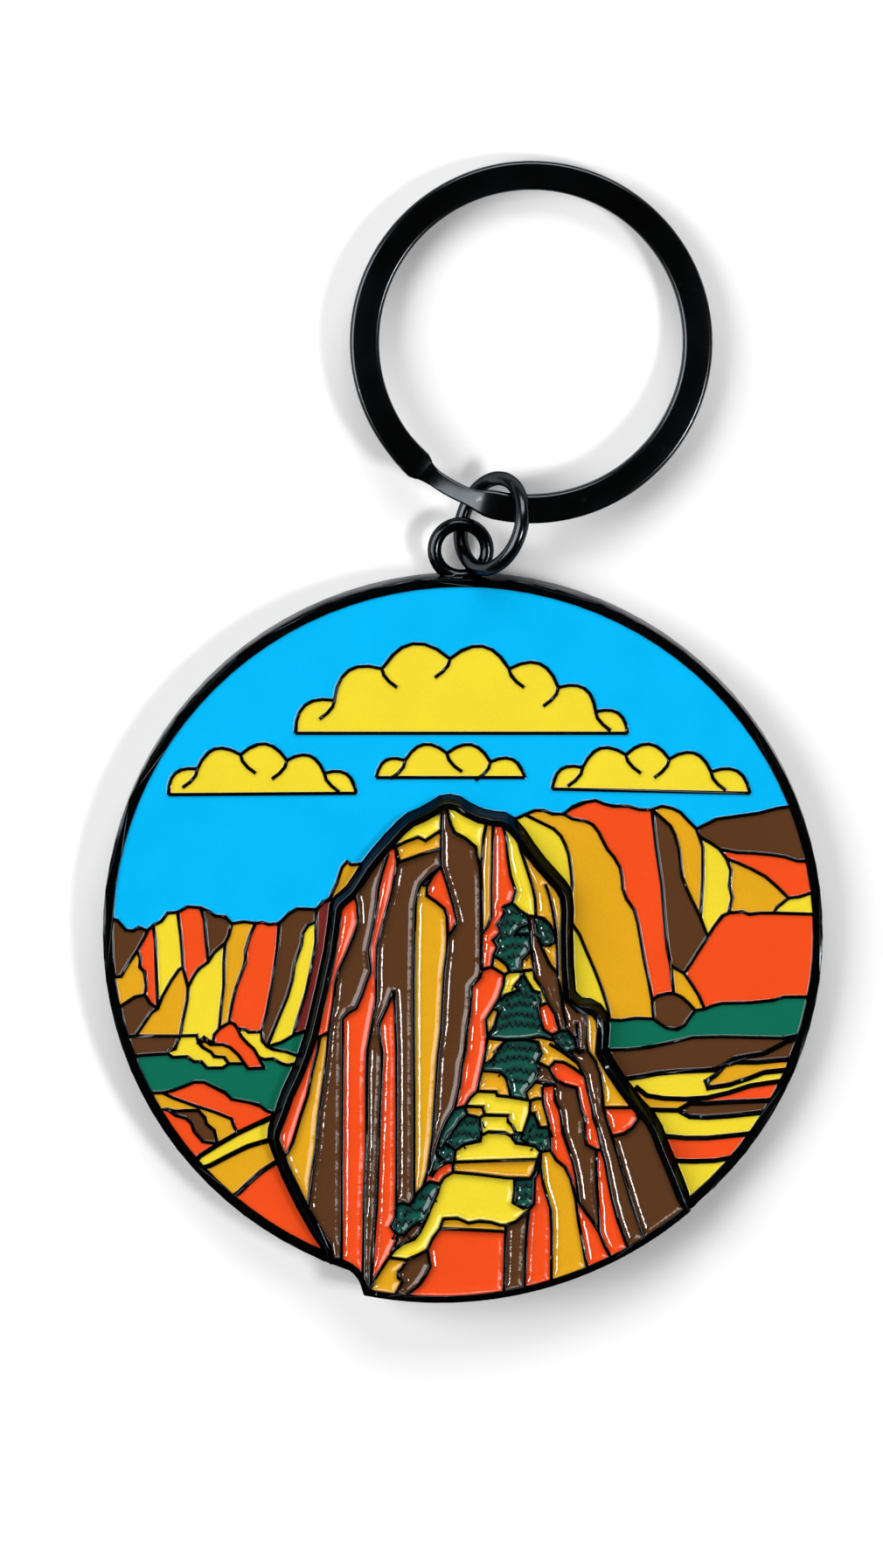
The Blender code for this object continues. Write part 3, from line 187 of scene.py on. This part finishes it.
def black_nickel(name, plating, gloss, grain, bump):
    """Black nickel over metal. It takes brighter and smoother on drawn wire than on a casting."""
    finish = bpy.data.materials.new(name)
    finish.use_nodes = True
    tree = finish.node_tree
    shader = tree.nodes["Principled BSDF"]
    shader.inputs["Metallic"].default_value = 1.0
    shader.inputs["Specular Tint"].default_value = (0.3, 0.3, 0.32, 1.0)
    wear = tree.nodes.new("ShaderNodeGroup")
    wear.node_tree = bpy.data.node_groups.get("plating_wear") or cast_mottle_group()
    wear.inputs["Plating"].default_value = (*plating, 1.0)
    wear.inputs["Gloss"].default_value = gloss
    wear.inputs["Grain"].default_value = grain
    relief = tree.nodes.new("ShaderNodeBump")
    relief.inputs["Strength"].default_value = bump
    relief.inputs["Distance"].default_value = 0.02 * MM
    tree.links.new(wear.outputs["Color"], shader.inputs["Base Color"])
    tree.links.new(wear.outputs["Roughness"], shader.inputs["Roughness"])
    tree.links.new(wear.outputs["Height"], relief.inputs["Height"])
    tree.links.new(relief.outputs["Normal"], shader.inputs["Normal"])
    return finish


casting = bare_copy("medallion_casting", "medallion_plated")

plain_casting = bmesh.new()      # as cast, before its corners are rounded: the enamel fills this
plain_casting.from_mesh(casting.data)
round_disc_edges(casting)
for level in (RIM_TOP, RELIEF_TOP):
    work_on(casting)
    pick_faces(casting, lies_flat_at(level))
    for width, rise in SHOULDER_STEPS:
        step_in(width, rise)
    bpy.ops.object.mode_set(mode="OBJECT")
smooth(casting, 35)
casting.data.materials.append(black_nickel("black_nickel_cast", (0.03, 0.034, 0.038), 0.1, 2600.0, 0.6))
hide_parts("medallion_casting")
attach(casting, "medallion")


# The enamel: soft enamel filled into the casting's pockets by syringe and baked. It shrinks as it
# cures, so it stands high where it wets the cast walls and lies lower in the middle of a cell.

ENAMEL = {
    "enamel_blue": (0.002, 0.425, 0.82),
    "enamel_yellow": (0.79, 0.62, 0.03),
    "enamel_gold": (0.68, 0.34, 0.012),
    "enamel_orange": (0.79, 0.072, 0.012),
    "enamel_maroon": (0.21, 0.025, 0.02),
    "enamel_brown": (0.092, 0.036, 0.013),
    "enamel_green": (0.005, 0.135, 0.08),
    "enamel_pine": (0.009, 0.08, 0.06),
}

# Points in the little cells between the named fills, as (x, y) in millimetres, by colour. A separate
# program worked out every point and most of the colours. They weren't chosen by hand.
LITTLE_CELLS = {
    "enamel_yellow": [
        (15.5, -10.6), (-12.3, -6.4), (8.6, -3.6), (-14.2, -13.9), (16.2, -16.9),
        (-19.2, -7.8), (-14.5, -7.4), (18.7, 10.7), (2.7, 11.7), (23.7, 2.1), (10.4, 15.0),
        (-8.5, 10.7), (-5.1, 11.7), (2.1, -14.7), (3.8, -12.2), (0.6, 7.5), (-2.6, 7.6),
        (3.3, -3.0), (4.6, -2.7), (1.8, -13.1),
    ],
    "enamel_gold": [
        (19.1, -9.6), (15.2, -3.6), (-16.7, -13.5), (-20.8, -11.8), (13.1, -11.9), (-17.0, -8.1),
        (4.2, -16.3), (10.4, -11.3), (1.7, 6.2), (-5.2, -24.3), (-3.2, 6.4), (1.8, -10.1),
        (6.0, -8.2), (-1.1, -20.2), (5.1, -11.9), (6.1, -1.0), (2.0, -7.6), (5.0, -10.8),
        (2.3, -1.9), (4.5, -1.9), (1.9, -5.8), (1.1, -12.3), (5.6, 1.9),
    ],
    "enamel_orange": [
        (16.2, -15.2), (-16.3, -7.1), (21.1, -11.0), (5.2, -22.8), (2.8, 3.3), (10.2, -20.6),
        (-7.9, 1.6), (6.8, -9.5), (6.7, -14.8), (-12.2, -13.5), (9.2, -22.1), (-1.7, 3.3),
        (10.9, -12.8), (5.9, -5.7), (-1.1, -16.2),
    ],
    "enamel_brown": [
        (14.4, -5.3), (-22.8, -5.5), (19.2, -12.2), (-22.5, -7.8), (-18.0, -13.9), (22.4, -8.2),
        (3.7, -20.8), (5.7, -2.7), (-3.4, -23.4), (-3.5, -20.8), (-2.6, 3.9),
    ],
    "enamel_green": [
        (-11.8, -7.8),
    ],
    "enamel_pine": [
        (-4.0, -19.6), (0.4, -13.5), (5.3, -14.1), (4.3, -17.8), (5.7, 0.2), (7.0, -7.2),
        (-0.3, -12.4), (-1.1, -15.2), (-1.8, -15.8), (3.7, -14.1), (4.3, 0.5),
    ],
}


def enamel_group():
    """Baked enamel: a slightly uneven colour, with painted shade that darkens it where it stands
    highest, against the cast walls.
    """
    group = bpy.data.node_groups.new("enamel_pool", "ShaderNodeTree")
    for name, kind, value in (
        ("Colour", "NodeSocketColor", (0.5, 0.5, 0.5, 1.0)),
        ("Pool level", "NodeSocketFloat", 2.92 * MM),
        ("Wall level", "NodeSocketFloat", 2.97 * MM),
    ):
        group.interface.new_socket(name, in_out="INPUT", socket_type=kind).default_value = value
    for name, kind in (
        ("Color", "NodeSocketColor"), ("Roughness", "NodeSocketFloat"), ("Height", "NodeSocketFloat"),
    ):
        group.interface.new_socket(name, in_out="OUTPUT", socket_type=kind)
    tree = group.nodes
    inlet, outlet = tree.new("NodeGroupInput"), tree.new("NodeGroupOutput")
    place, split = tree.new("ShaderNodeTexCoord"), tree.new("ShaderNodeSeparateXYZ")
    drift, grain, ripple = (tree.new("ShaderNodeTexNoise") for _ in range(3))
    for noise, scale, detail in ((drift, 260.0, 3.0), (grain, 5200.0, 2.0), (ripple, 900.0, 4.0)):
        noise.inputs["Scale"].default_value = scale
        noise.inputs["Detail"].default_value = detail
    # the enamel's height between the middle of its pool and the wall it wets: the mask of the painted
    # shade
    rise = tree.new("ShaderNodeMapRange")
    uneven = tree.new("ShaderNodeMath")
    uneven.operation = "MULTIPLY_ADD"
    uneven.inputs[1].default_value = 0.14
    # painted shade: the colour's value drops by up to 0.3 as the enamel rises towards the cast wall
    shade = tree.new("ShaderNodeMath")
    shade.operation = "MULTIPLY_ADD"
    shade.inputs[1].default_value = -0.3
    value = tree.new("ShaderNodeMath")
    value.operation = "MULTIPLY_ADD"
    value.inputs[1].default_value = 0.1
    value.inputs[2].default_value = 0.88
    colour = tree.new("ShaderNodeHueSaturation")
    polish = tree.new("ShaderNodeMath")
    polish.operation = "MULTIPLY_ADD"
    polish.inputs[1].default_value = 0.08
    polish.inputs[2].default_value = 0.05
    link = group.links.new
    for noise in (drift, grain, ripple):
        link(place.outputs["Object"], noise.inputs["Vector"])
    link(place.outputs["Object"], split.inputs["Vector"])
    link(split.outputs["Z"], rise.inputs["Value"])
    link(inlet.outputs["Pool level"], rise.inputs["From Min"])
    link(inlet.outputs["Wall level"], rise.inputs["From Max"])
    link(grain.outputs["Fac"], value.inputs[0])
    link(drift.outputs["Fac"], uneven.inputs[0])
    link(value.outputs["Value"], uneven.inputs[2])
    link(rise.outputs["Result"], shade.inputs[0])
    link(uneven.outputs["Value"], shade.inputs[2])
    link(shade.outputs["Value"], colour.inputs["Value"])
    link(inlet.outputs["Colour"], colour.inputs["Color"])
    link(drift.outputs["Fac"], polish.inputs[0])
    link(colour.outputs["Color"], outlet.inputs["Color"])
    link(polish.outputs["Value"], outlet.inputs["Roughness"])
    link(ripple.outputs["Fac"], outlet.inputs["Height"])
    return group


def enamel_finish(slot, raised):
    """One baked colour, for the flat part's pools or for the deeper ones of the relief."""
    name = slot + ("_raised" if raised else "_flat")
    finish = bpy.data.materials.get(name)
    if finish:
        return finish
    finish = bpy.data.materials.new(name)
    finish.use_nodes = True
    tree = finish.node_tree
    shader = tree.nodes["Principled BSDF"]
    shader.inputs["IOR"].default_value = 1.52
    pool = tree.nodes.new("ShaderNodeGroup")
    pool.node_tree = bpy.data.node_groups.get("enamel_pool") or enamel_group()
    pool.inputs["Colour"].default_value = (*ENAMEL[slot], 1.0)
    # the painted shade along the walls spans the relief's deeper fall
    if raised:
        pool.inputs["Pool level"].default_value = (RELIEF_WET - RELIEF_FALL[-1][1]) * MM
        pool.inputs["Wall level"].default_value = RELIEF_WET * MM
    relief = tree.nodes.new("ShaderNodeBump")
    relief.inputs["Strength"].default_value = 0.7 if raised else 0.16
    relief.inputs["Distance"].default_value = (0.07 if raised else 0.02) * MM
    tree.links.new(pool.outputs["Color"], shader.inputs["Base Color"])
    tree.links.new(pool.outputs["Roughness"], shader.inputs["Roughness"])
    tree.links.new(pool.outputs["Height"], relief.inputs["Height"])
    tree.links.new(relief.outputs["Normal"], shader.inputs["Normal"])
    return finish


# The level at which the enamel wets a wall, and how its top comes down from there, as distances from
# the wall and drops, in millimetres
BASE_WET = 2.97
BASE_FALL = ((0.0, 0.0), (0.03, 0.025), (0.06, 0.033), (0.2, 0.045), (0.34, 0.05), (0.42, 0.05))
RELIEF_WET = 4.14
RELIEF_FALL = ((0.0, 0.0), (0.04, 0.06), (0.09, 0.1), (0.3, 0.18), (0.42, 0.2), (0.55, 0.2))
LONGEST_SIDE = 0.3             # of a pocket's outline, so that the fall follows it closely
SMALLEST_POCKET = 0.02 * MM * MM
ROW_SPACING = 0.06             # between points at one distance from the wall
ROW_TO_ROW = 0.025             # between points of different rows
SHARED_ROW = 0.985             # a point nearer another wall than this share of its distance is dropped
CLEAR_OF_FLOOR = 0.02


def pocket_outlines(level):
    """Each pocket's outline at one level: its corners, and its sides with the pocket on the left."""
    sheet = plain_casting.copy()
    flat = lies_flat_at(level)
    bmesh.ops.delete(sheet, geom=[face for face in sheet.faces if not flat(face)], context="FACES")
    bmesh.ops.remove_doubles(sheet, verts=sheet.verts, dist=0.02 * MM)
    outlines, reached = [], set()
    for first in sheet.faces:
        if first in reached:
            continue
        reached.add(first)
        floor = [first]
        for face in floor:
            for edge in face.edges:
                beside = [other for other in edge.link_faces if other not in reached]
                reached.update(beside)
                floor.extend(beside)
        corners, sides = [], []
        place_of = {}
        for loop in (loop for face in floor for loop in face.loops if loop.edge.is_boundary):
            a, b = loop.vert, loop.link_loop_next.vert
            for corner in (a, b):
                if corner not in place_of:
                    place_of[corner] = len(corners)
                    corners.append(corner.co.xy / MM)
            start, end = corners[place_of[a]], corners[place_of[b]]
            parts = math.ceil((end - start).length / LONGEST_SIDE)
            between = list(range(len(corners), len(corners) + parts - 1))
            corners.extend(start.lerp(end, (i + 1) / parts) for i in range(parts - 1))
            chain = [place_of[a], *between, place_of[b]]
            sides.extend(zip(chain, chain[1:]))
        if sum(face.calc_area() for face in floor) > SMALLEST_POCKET:
            outlines.append((np.array(corners), np.array(sides)))
    sheet.free()
    return outlines


def from_walls(spots, starts, along, length):
    """How far each spot is from the nearest wall."""
    nearest = np.full(len(spots), 1e3)
    for start, way, far in zip(starts, along, length):
        apart = spots - start
        reach = np.clip(apart @ way, 0.0, far)
        nearest = np.minimum(nearest, np.hypot(*(apart - reach[:, None] * way).T))
    return nearest


def thinned(row, spacing):
    """One point of each square of a grid."""
    return row[np.unique(np.round(row / spacing), axis=0, return_index=True)[1]]


def sheet_over(spots, sides):
    """Triangles over everything inside the outline, with its islands left out."""
    flat = [Vector(spot) for spot in spots]
    corners, _, triangles, origins, _, _ = geometry.delaunay_2d_cdt(flat, sides.tolist(), [], 1, 1e-6)
    places = np.array(corners)
    middles = places[np.array(triangles)].mean(axis=1)
    inside = np.zeros(len(middles), dtype=bool)
    for (ax, ay), (bx, by) in zip(spots[sides[:, 0]], spots[sides[:, 1]]):
        if ay != by:
            level_with = (ay > middles[:, 1]) != (by > middles[:, 1])
            crossing = ax + (middles[:, 1] - ay) / (by - ay) * (bx - ax)
            inside ^= level_with & (middles[:, 0] < crossing)
    triangles = [triangle for triangle, kept in zip(triangles, inside) if kept]
    place_of = {old: new for new, olds in enumerate(origins) for old in olds}
    return corners, triangles, place_of


def fill_pools(level, wet, fall):
    """A body of enamel in each pocket, its top falling from the walls to a level middle."""
    widths, drops = zip(*fall)
    bodies = []
    for spots, sides in pocket_outlines(level):
        starts, ends = spots[sides[:, 0]], spots[sides[:, 1]]
        along = ends - starts
        length = np.hypot(*along.T)
        along /= length[:, None]
        inward = np.stack((-along[:, 1], along[:, 0]), axis=1)
        corner_way = np.zeros_like(spots)
        for end in (0, 1):
            np.add.at(corner_way, sides[:, end], inward)
        corner_way /= np.maximum(np.hypot(*corner_way.T), 1e-6)[:, None]
        feet = np.concatenate((starts, (starts + ends) / 2, ends, spots))
        ways = np.concatenate((inward, inward, inward, corner_way))
        rows = []
        for width in widths[1:]:
            row = feet + ways * width
            row = thinned(row, ROW_SPACING)
            rows.append(row[from_walls(row, starts, along, length) > SHARED_ROW * width])
        everything = np.concatenate((spots, thinned(np.concatenate(rows), ROW_TO_ROW)))
        top, top_faces, top_place = sheet_over(everything, sides)
        under, under_faces, under_place = sheet_over(spots, sides)
        drop = np.interp(from_walls(np.array(top), starts, along, length), widths, drops)
        mesh = bmesh.new()
        upper = [
            mesh.verts.new((spot.x * MM, spot.y * MM, (wet - fallen) * MM))
            for spot, fallen in zip(top, drop)
        ]
        lower = [
            mesh.verts.new((spot.x * MM, spot.y * MM, (level + CLEAR_OF_FLOOR) * MM)) for spot in under
        ]
        for triangle in top_faces:
            mesh.faces.new([upper[i] for i in triangle])
        for triangle in under_faces:
            mesh.faces.new([lower[i] for i in reversed(triangle)])
        for a, b in sides.tolist():
            mesh.faces.new(
                (lower[under_place[a]], lower[under_place[b]], upper[top_place[b]], upper[top_place[a]])
            )
        bmesh.ops.delete(mesh, geom=[v for v in mesh.verts if not v.link_faces], context="VERTS")
        data = bpy.data.meshes.new("enamel")
        mesh.to_mesh(data)
        mesh.free()
        body = bpy.data.objects.new("enamel", data)
        bpy.context.scene.collection.objects.link(body)
        bodies.append(body)
    return bodies


def pool_at(pools, spot):
    """The body of enamel under a point of the picture."""
    above = Vector((spot[0], spot[1], 10 * MM))
    for pool in pools:
        xs = [corner[0] for corner in pool.bound_box]
        ys = [corner[1] for corner in pool.bound_box]
        if min(xs) < spot[0] < max(xs) and min(ys) < spot[1] < max(ys):
            if pool.ray_cast(above, Vector((0, 0, -1)))[0]:
                return pool
    return None


def inner_spot(node):
    """A point inside the top of a CAD fill."""
    mesh = nodes[node].data
    top = max(
        (face for face in mesh.polygons if face.normal.z > 0.99), key=lambda face: face.area,
    )
    return top.center.xy


base_bodies = fill_pools(BASE_FLOOR, BASE_WET, BASE_FALL)
relief_bodies = fill_pools(RELIEF_FLOOR, RELIEF_WET, RELIEF_FALL)
bpy.context.view_layer.update()
slot_of = {part["node"]: part["material_slot"] for part in frame["record"]["subparts"]}
poured = {}
for node in sorted(n for n in nodes if n.startswith("enamel_")):
    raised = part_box(node)[1].z > 3.2 * MM
    pool = pool_at(relief_bodies if raised else base_bodies, inner_spot(node))
    if pool is None:
        raise ValueError(f"no pocket under {node}")
    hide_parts(node)
    if pool in poured:
        continue
    poured[pool] = slot_of[node]
    pool.name = node + "_pour"
    pool.data.materials.append(enamel_finish(slot_of[node], raised))

for slot, spots in LITTLE_CELLS.items():
    for raised, bodies in ((False, base_bodies), (True, relief_bodies)):
        found = []
        for x, y in spots:
            pool = pool_at(bodies, (x * MM, y * MM))
            if pool is None or pool in poured or pool in found:
                continue
            pool.data.materials.append(enamel_finish(slot, raised))
            found.append(pool)
        if not found:
            continue
        bpy.ops.object.select_all(action="DESELECT")
        for pool in found:
            pool.select_set(True)
        bpy.context.view_layer.objects.active = found[0]
        if len(found) > 1:
            bpy.ops.object.join()
        found[0].name = slot + ("_little_raised" if raised else "_little_flat")
        poured[found[0]] = slot
        for pool in found[1:]:
            bodies.remove(pool)

for pool, slot in poured.items():
    smooth(pool, 75)
    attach(pool, "medallion")


# The jump ring: round steel wire cut and bent to a circle, plated with the rest. Its two ends are
# butted, so the joint shows as a hair line on the top of the ring.

def wire_piece(name, path, section=None, wire=0.0, girth=None):
    """A wire with capped ends along a path, in millimetres. The girth scales its section."""
    line = bpy.data.curves.new(name, "CURVE")
    line.dimensions = "3D"
    line.use_fill_caps = True
    if section:
        line.bevel_mode = "OBJECT"
        line.bevel_object = section
        line.twist_mode = "Z_UP"
    else:
        line.bevel_depth = wire / 2 * MM
        line.bevel_resolution = 6
    spline = line.splines.new("POLY")
    spline.points.add(len(path) - 1)
    for point, spot in zip(spline.points, path):
        point.co = (*(Vector(spot) * MM), 1.0)
    if girth:
        spline.points.foreach_set("radius", girth)
    shape = bpy.data.objects.new(name, line)
    bpy.context.scene.collection.objects.link(shape)
    bpy.ops.object.select_all(action="DESELECT")
    bpy.context.view_layer.objects.active = shape
    shape.select_set(True)
    bpy.ops.object.convert(target="MESH")
    work_on(shape)
    bpy.ops.mesh.select_all(action="SELECT")
    bpy.ops.mesh.remove_doubles(threshold=0.0005 * MM)
    bpy.ops.mesh.normals_make_consistent(inside=False)
    bpy.ops.object.mode_set(mode="OBJECT")
    return shape


def settle(shape, place):
    """Writes an object's place into its mesh, so that the object sits at the origin."""
    shape.data.transform(place)
    shape.matrix_world = Matrix.Identity(4)


def round_end(shape, tip, width):
    """Takes the sharp edge off the cut end of a wire, at a tip given in millimetres."""
    work_on(shape)
    tip = Vector(tip) * MM
    pick_faces(
        shape, lambda face: len(face.verts) > 4 and (face.calc_center_median() - tip).length < MM,
    )
    bpy.ops.mesh.bevel(offset=width * MM, segments=2, affect="EDGES")
    bpy.ops.object.mode_set(mode="OBJECT")


JUMP_RADIUS = 3.2
JUMP_WIRE = 1.0
JUMP_CENTRE = (1.97, 28.73, 3.11)
JUMP_SEAM = math.radians(-51.0)
JUMP_GAP = 0.03 / JUMP_RADIUS
JUMP_POINTS = 96
around = [
    JUMP_SEAM + JUMP_GAP + (math.tau - 2 * JUMP_GAP) * i / JUMP_POINTS for i in range(JUMP_POINTS + 1)
]
jump_path = [(JUMP_RADIUS * math.cos(t), JUMP_RADIUS * math.sin(t), 0.0) for t in around]
jump_ring = wire_piece("jump_ring_wire", jump_path, wire=JUMP_WIRE)
for tip in (jump_path[0], jump_path[-1]):
    round_end(jump_ring, tip, 0.06)
settle(
    jump_ring,
    Matrix.Translation(Vector(JUMP_CENTRE) * MM)
    @ Matrix.Rotation(math.radians(159.56), 4, "Z")
    @ Matrix.Rotation(math.radians(52.76), 4, "Y"),
)
smooth(jump_ring, 40)
ring_plating = black_nickel("black_nickel_wire", (0.05, 0.056, 0.062), 0.1, 1500.0, 0.12)
jump_ring.data.materials.append(ring_plating)
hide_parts("jump_ring")
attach(jump_ring, "jump_ring")


# The boughs of the trees: thin cast lines over the green cells, part of the casting, each with
# the teeth of its needles. They're laid on as fine wires half sunk in the enamel.

BOUGH_WIRE = 0.15
BOUGH_LEVEL = 4.06
BOUGH_OVERHANG = 0.2     # past the edge of its green cell
TOOTH = 0.2

# Middle, half width and droop of each bough, in millimetres
BOUGHS = [
    (3.5, 1.75, 0.5, 0.25), (3.55, 1.0, 0.85, 0.3), (3.6, 0.2, 0.95, 0.35), (3.65, -0.6, 1.05, 0.35),
    (3.7, -1.35, 0.9, 0.3), (5.6, 1.0, 0.45, 0.2), (5.75, 0.45, 0.6, 0.25), (5.85, -0.05, 0.45, 0.2),
    (4.05, -3.3, 0.5, 0.3), (4.0, -4.0, 0.8, 0.3), (3.95, -4.7, 1.15, 0.35), (3.9, -5.4, 1.3, 0.35),
    (3.85, -6.1, 1.5, 0.3), (3.7, -7.75, 1.4, 0.3), (3.75, -8.5, 1.5, 0.35), (3.8, -9.3, 1.1, 0.35),
    (3.85, -10.1, 0.6, 0.25), (7.1, -7.0, 0.55, 0.2), (7.2, -7.5, 0.5, 0.2), (0.5, -13.0, 0.8, 0.2),
    (0.1, -13.8, 0.8, 0.25), (-0.6, -14.6, 0.6, 0.2), (-1.0, -15.5, 0.45, 0.2), (5.3, -13.3, 0.45, 0.2),
    (5.3, -14.0, 0.65, 0.25), (5.4, -14.7, 0.5, 0.2), (4.4, -17.5, 0.45, 0.2), (4.4, -18.2, 0.5, 0.2),
    (-2.6, -18.3, 0.6, 0.2), (-3.2, -19.2, 0.7, 0.25), (-3.8, -20.1, 0.6, 0.2), (-4.3, -20.9, 0.4, 0.2),
]
teeth = random.Random(7)
bough_lines = []
for x, y, half, droop in BOUGHS:
    half += BOUGH_OVERHANG
    count = max(6, 2 * round(half / TOOTH))
    path = []
    for i in range(count + 1):
        along = 2 * i / count - 1
        tooth = (TOOTH if i % 2 else -TOOTH) * teeth.uniform(0.5, 1.4)
        lean = teeth.uniform(-0.04, 0.04)
        path.append((x + half * along + lean, y + tooth - droop * abs(along) ** 1.5, BOUGH_LEVEL))
    bough_lines.append(wire_piece("pine_bough", path, wire=BOUGH_WIRE))
    bough_lines[-1].data.shade_smooth()
bpy.ops.object.select_all(action="DESELECT")
for line in bough_lines:
    line.select_set(True)
bpy.context.view_layer.objects.active = bough_lines[0]
bpy.ops.object.join()
boughs = bough_lines[0]
boughs.name = "pine_boughs"
boughs.data.materials.append(casting.data.materials[0])
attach(boughs, "medallion")


# The split ring: flat steel wire coiled almost twice round, hardened, tumbled and plated. The
# upper coil steps down beside its own end, and that end springs up when a key is slid in.

SPLIT_RADIUS = 11.5
SPLIT_WIDTH = 2.0
SPLIT_THICK = 0.88
SPLIT_PITCH = 0.93
SPLIT_CENTRE = (4.7, 41.2, 1.945)
LOWER_END, STEP_START, STEP_END, PARTING, UPPER_END = -98.0, 230.0, 256.0, 500.0, 590.0
NECK = 241.0             # the middle of the step, where the wire is thinnest
NECK_LOSS = 0.4          # share of the wire's size lost there
FLARE = 0.05             # share gained just short of the upper end
TIP_GIRTH = 0.84         # of the last point, so the end has round corners
PATH_STEP = 2.5          # degrees between points of the coil
CORNER = 0.26            # radius of the flat wire's corners
TOWARD_EYE = Vector((-4.85, -14.45, 0.0))


def flat_wire_outline():
    """The drawn wire's section: a rectangle with rounded corners."""
    outline = []
    for turn, (x, y) in enumerate(((1, 1), (-1, 1), (-1, -1), (1, -1))):
        middle = Vector((x * (SPLIT_WIDTH / 2 - CORNER), y * (SPLIT_THICK / 2 - CORNER)))
        for i in range(6):
            angle = math.radians(90 * turn + 18 * i)
            outline.append(middle + CORNER * Vector((math.cos(angle), math.sin(angle))))
    line = bpy.data.curves.new("flat_wire", "CURVE")
    line.dimensions = "2D"
    spline = line.splines.new("POLY")
    spline.points.add(len(outline) - 1)
    for point, spot in zip(spline.points, outline):
        point.co = (*(spot * MM), 0.0, 1.0)
    spline.use_cyclic_u = True
    section = bpy.data.objects.new("flat_wire_section", line)
    bpy.context.scene.collection.objects.link(section)
    return section


def coil_path(start, end):
    """Points of the coil's middle line between two angles along the wire."""
    count = round((end - start) / PATH_STEP)
    path = []
    for i in range(count + 1):
        along = start + (end - start) * i / count
        climb = min(max((along - STEP_START) / (STEP_END - STEP_START), 0.0), 1.0)
        level = climb * climb * (3 - 2 * climb) - 0.5
        turn = math.radians(along)
        path.append(
            (SPLIT_RADIUS * math.cos(turn), SPLIT_RADIUS * math.sin(turn), SPLIT_PITCH * level)
        )
    return path


def coil_girth(start, end):
    """The wire is drawn thinner where it steps up, and is left a little thicker at its upper end."""
    count = round((end - start) / PATH_STEP)
    girth = []
    for i in range(count + 1):
        along = start + (end - start) * i / count
        neck = min(1.0, max(0.0, 1.6 - abs(along - NECK) / 10.0))
        flare = max(0.0, 1.0 - abs(along - UPPER_END + 4.0) / 9.0)
        girth.append(1.0 - NECK_LOSS * neck * neck * (3 - 2 * neck) + FLARE * flare)
    if end == UPPER_END:
        girth[-1] = TIP_GIRTH
    return girth


section = flat_wire_outline()
coil = wire_piece(
    "split_ring_coil", coil_path(LOWER_END, PARTING), section, girth=coil_girth(LOWER_END, PARTING)
)
sprung = wire_piece(
    "split_ring_sprung_end",
    coil_path(PARTING, UPPER_END),
    section,
    girth=coil_girth(PARTING, UPPER_END),
)
round_end(coil, coil_path(LOWER_END, PARTING)[0], 0.12)
round_end(sprung, coil_path(PARTING, UPPER_END)[-1], 0.2)
bpy.data.objects.remove(section)
coil_place = Matrix.Translation(Vector(SPLIT_CENTRE) * MM) @ Matrix.Rotation(
    math.radians(4.67), 4, TOWARD_EYE.cross(Vector((0, 0, 1)))
)
for piece in (coil, sprung):
    settle(piece, coil_place)
    smooth(piece, 40)
    piece.data.materials.append(ring_plating)
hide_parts("split_ring")
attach(coil, "split_ring")
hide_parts("split_ring_free_end")
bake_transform(sprung)


# The setting: a white table under two large soft lights, with a small lamp to the right that gives
# the enamel its bright edges.

bpy.ops.mesh.primitive_plane_add(size=1.2, location=(0, 0.01, -0.0001))
table = bpy.context.object
table.name = "table_top"
paper = bpy.data.materials.new("white_paper")
paper.use_nodes = True
paper_shader = paper.node_tree.nodes["Principled BSDF"]
paper_shader.inputs["Base Color"].default_value = (0.93, 0.93, 0.93, 1.0)
paper_shader.inputs["Roughness"].default_value = 0.9
paper_shader.inputs["Specular IOR Level"].default_value = 0.1
table.data.materials.append(paper)

# the room is pale low down and dark overhead, so flat enamel keeps its full colour
world = bpy.data.worlds.new("studio")
world.use_nodes = True
room = world.node_tree
way, height, fade = (
    room.nodes.new(kind)
    for kind in ("ShaderNodeTexCoord", "ShaderNodeSeparateXYZ", "ShaderNodeMapRange")
)
fade.inputs["From Min"].default_value = 0.15
fade.inputs["From Max"].default_value = 0.85
fade.inputs["To Min"].default_value = 0.8
fade.inputs["To Max"].default_value = 0.12
room.links.new(way.outputs["Generated"], height.inputs["Vector"])
room.links.new(height.outputs["Z"], fade.inputs["Value"])
room.links.new(fade.outputs["Result"], room.nodes["Background"].inputs["Strength"])
bpy.context.scene.world = world


def lamp(name, spot, size, power):
    light = bpy.data.lights.new(name, "AREA")
    light.shape = "RECTANGLE"
    light.size, light.size_y = size
    light.energy = power
    holder = bpy.data.objects.new(name, light)
    bpy.context.scene.collection.objects.link(holder)
    holder.location = spot
    holder.rotation_euler = (Vector((0, 0.01, 0)) - Vector(spot)).to_track_quat("-Z", "Y").to_euler()


lamp("edge_lamp", (0.25, -0.05, 0.35), (0.1, 0.07), 0.85)
lamp("soft_left", (-0.42, 0.1, 0.4), (0.4, 0.5), 3.2)
lamp("soft_far", (0.05, 0.55, 0.4), (0.5, 0.3), 2.6)

LENS = 250.0
SENSOR = 36.0
VIEW_HEIGHT = 108.7 * MM
AIM = Vector((-1.48, 10.55, 3.0)) * MM
TILT = math.radians(8.0)
distance = VIEW_HEIGHT * LENS / SENSOR
camera_data = bpy.data.cameras.new("camera")
camera_data.lens = LENS
camera_data.sensor_fit = "VERTICAL"
camera_data.sensor_height = SENSOR
camera_data.clip_start = 0.01
camera = bpy.data.objects.new("camera", camera_data)
bpy.context.scene.collection.objects.link(camera)
camera.location = AIM + distance * Vector((0, math.sin(TILT), math.cos(TILT)))
camera.rotation_euler = (-TILT, 0, 0)
bpy.context.scene.camera = camera
bpy.context.scene.view_settings.view_transform = "Standard"
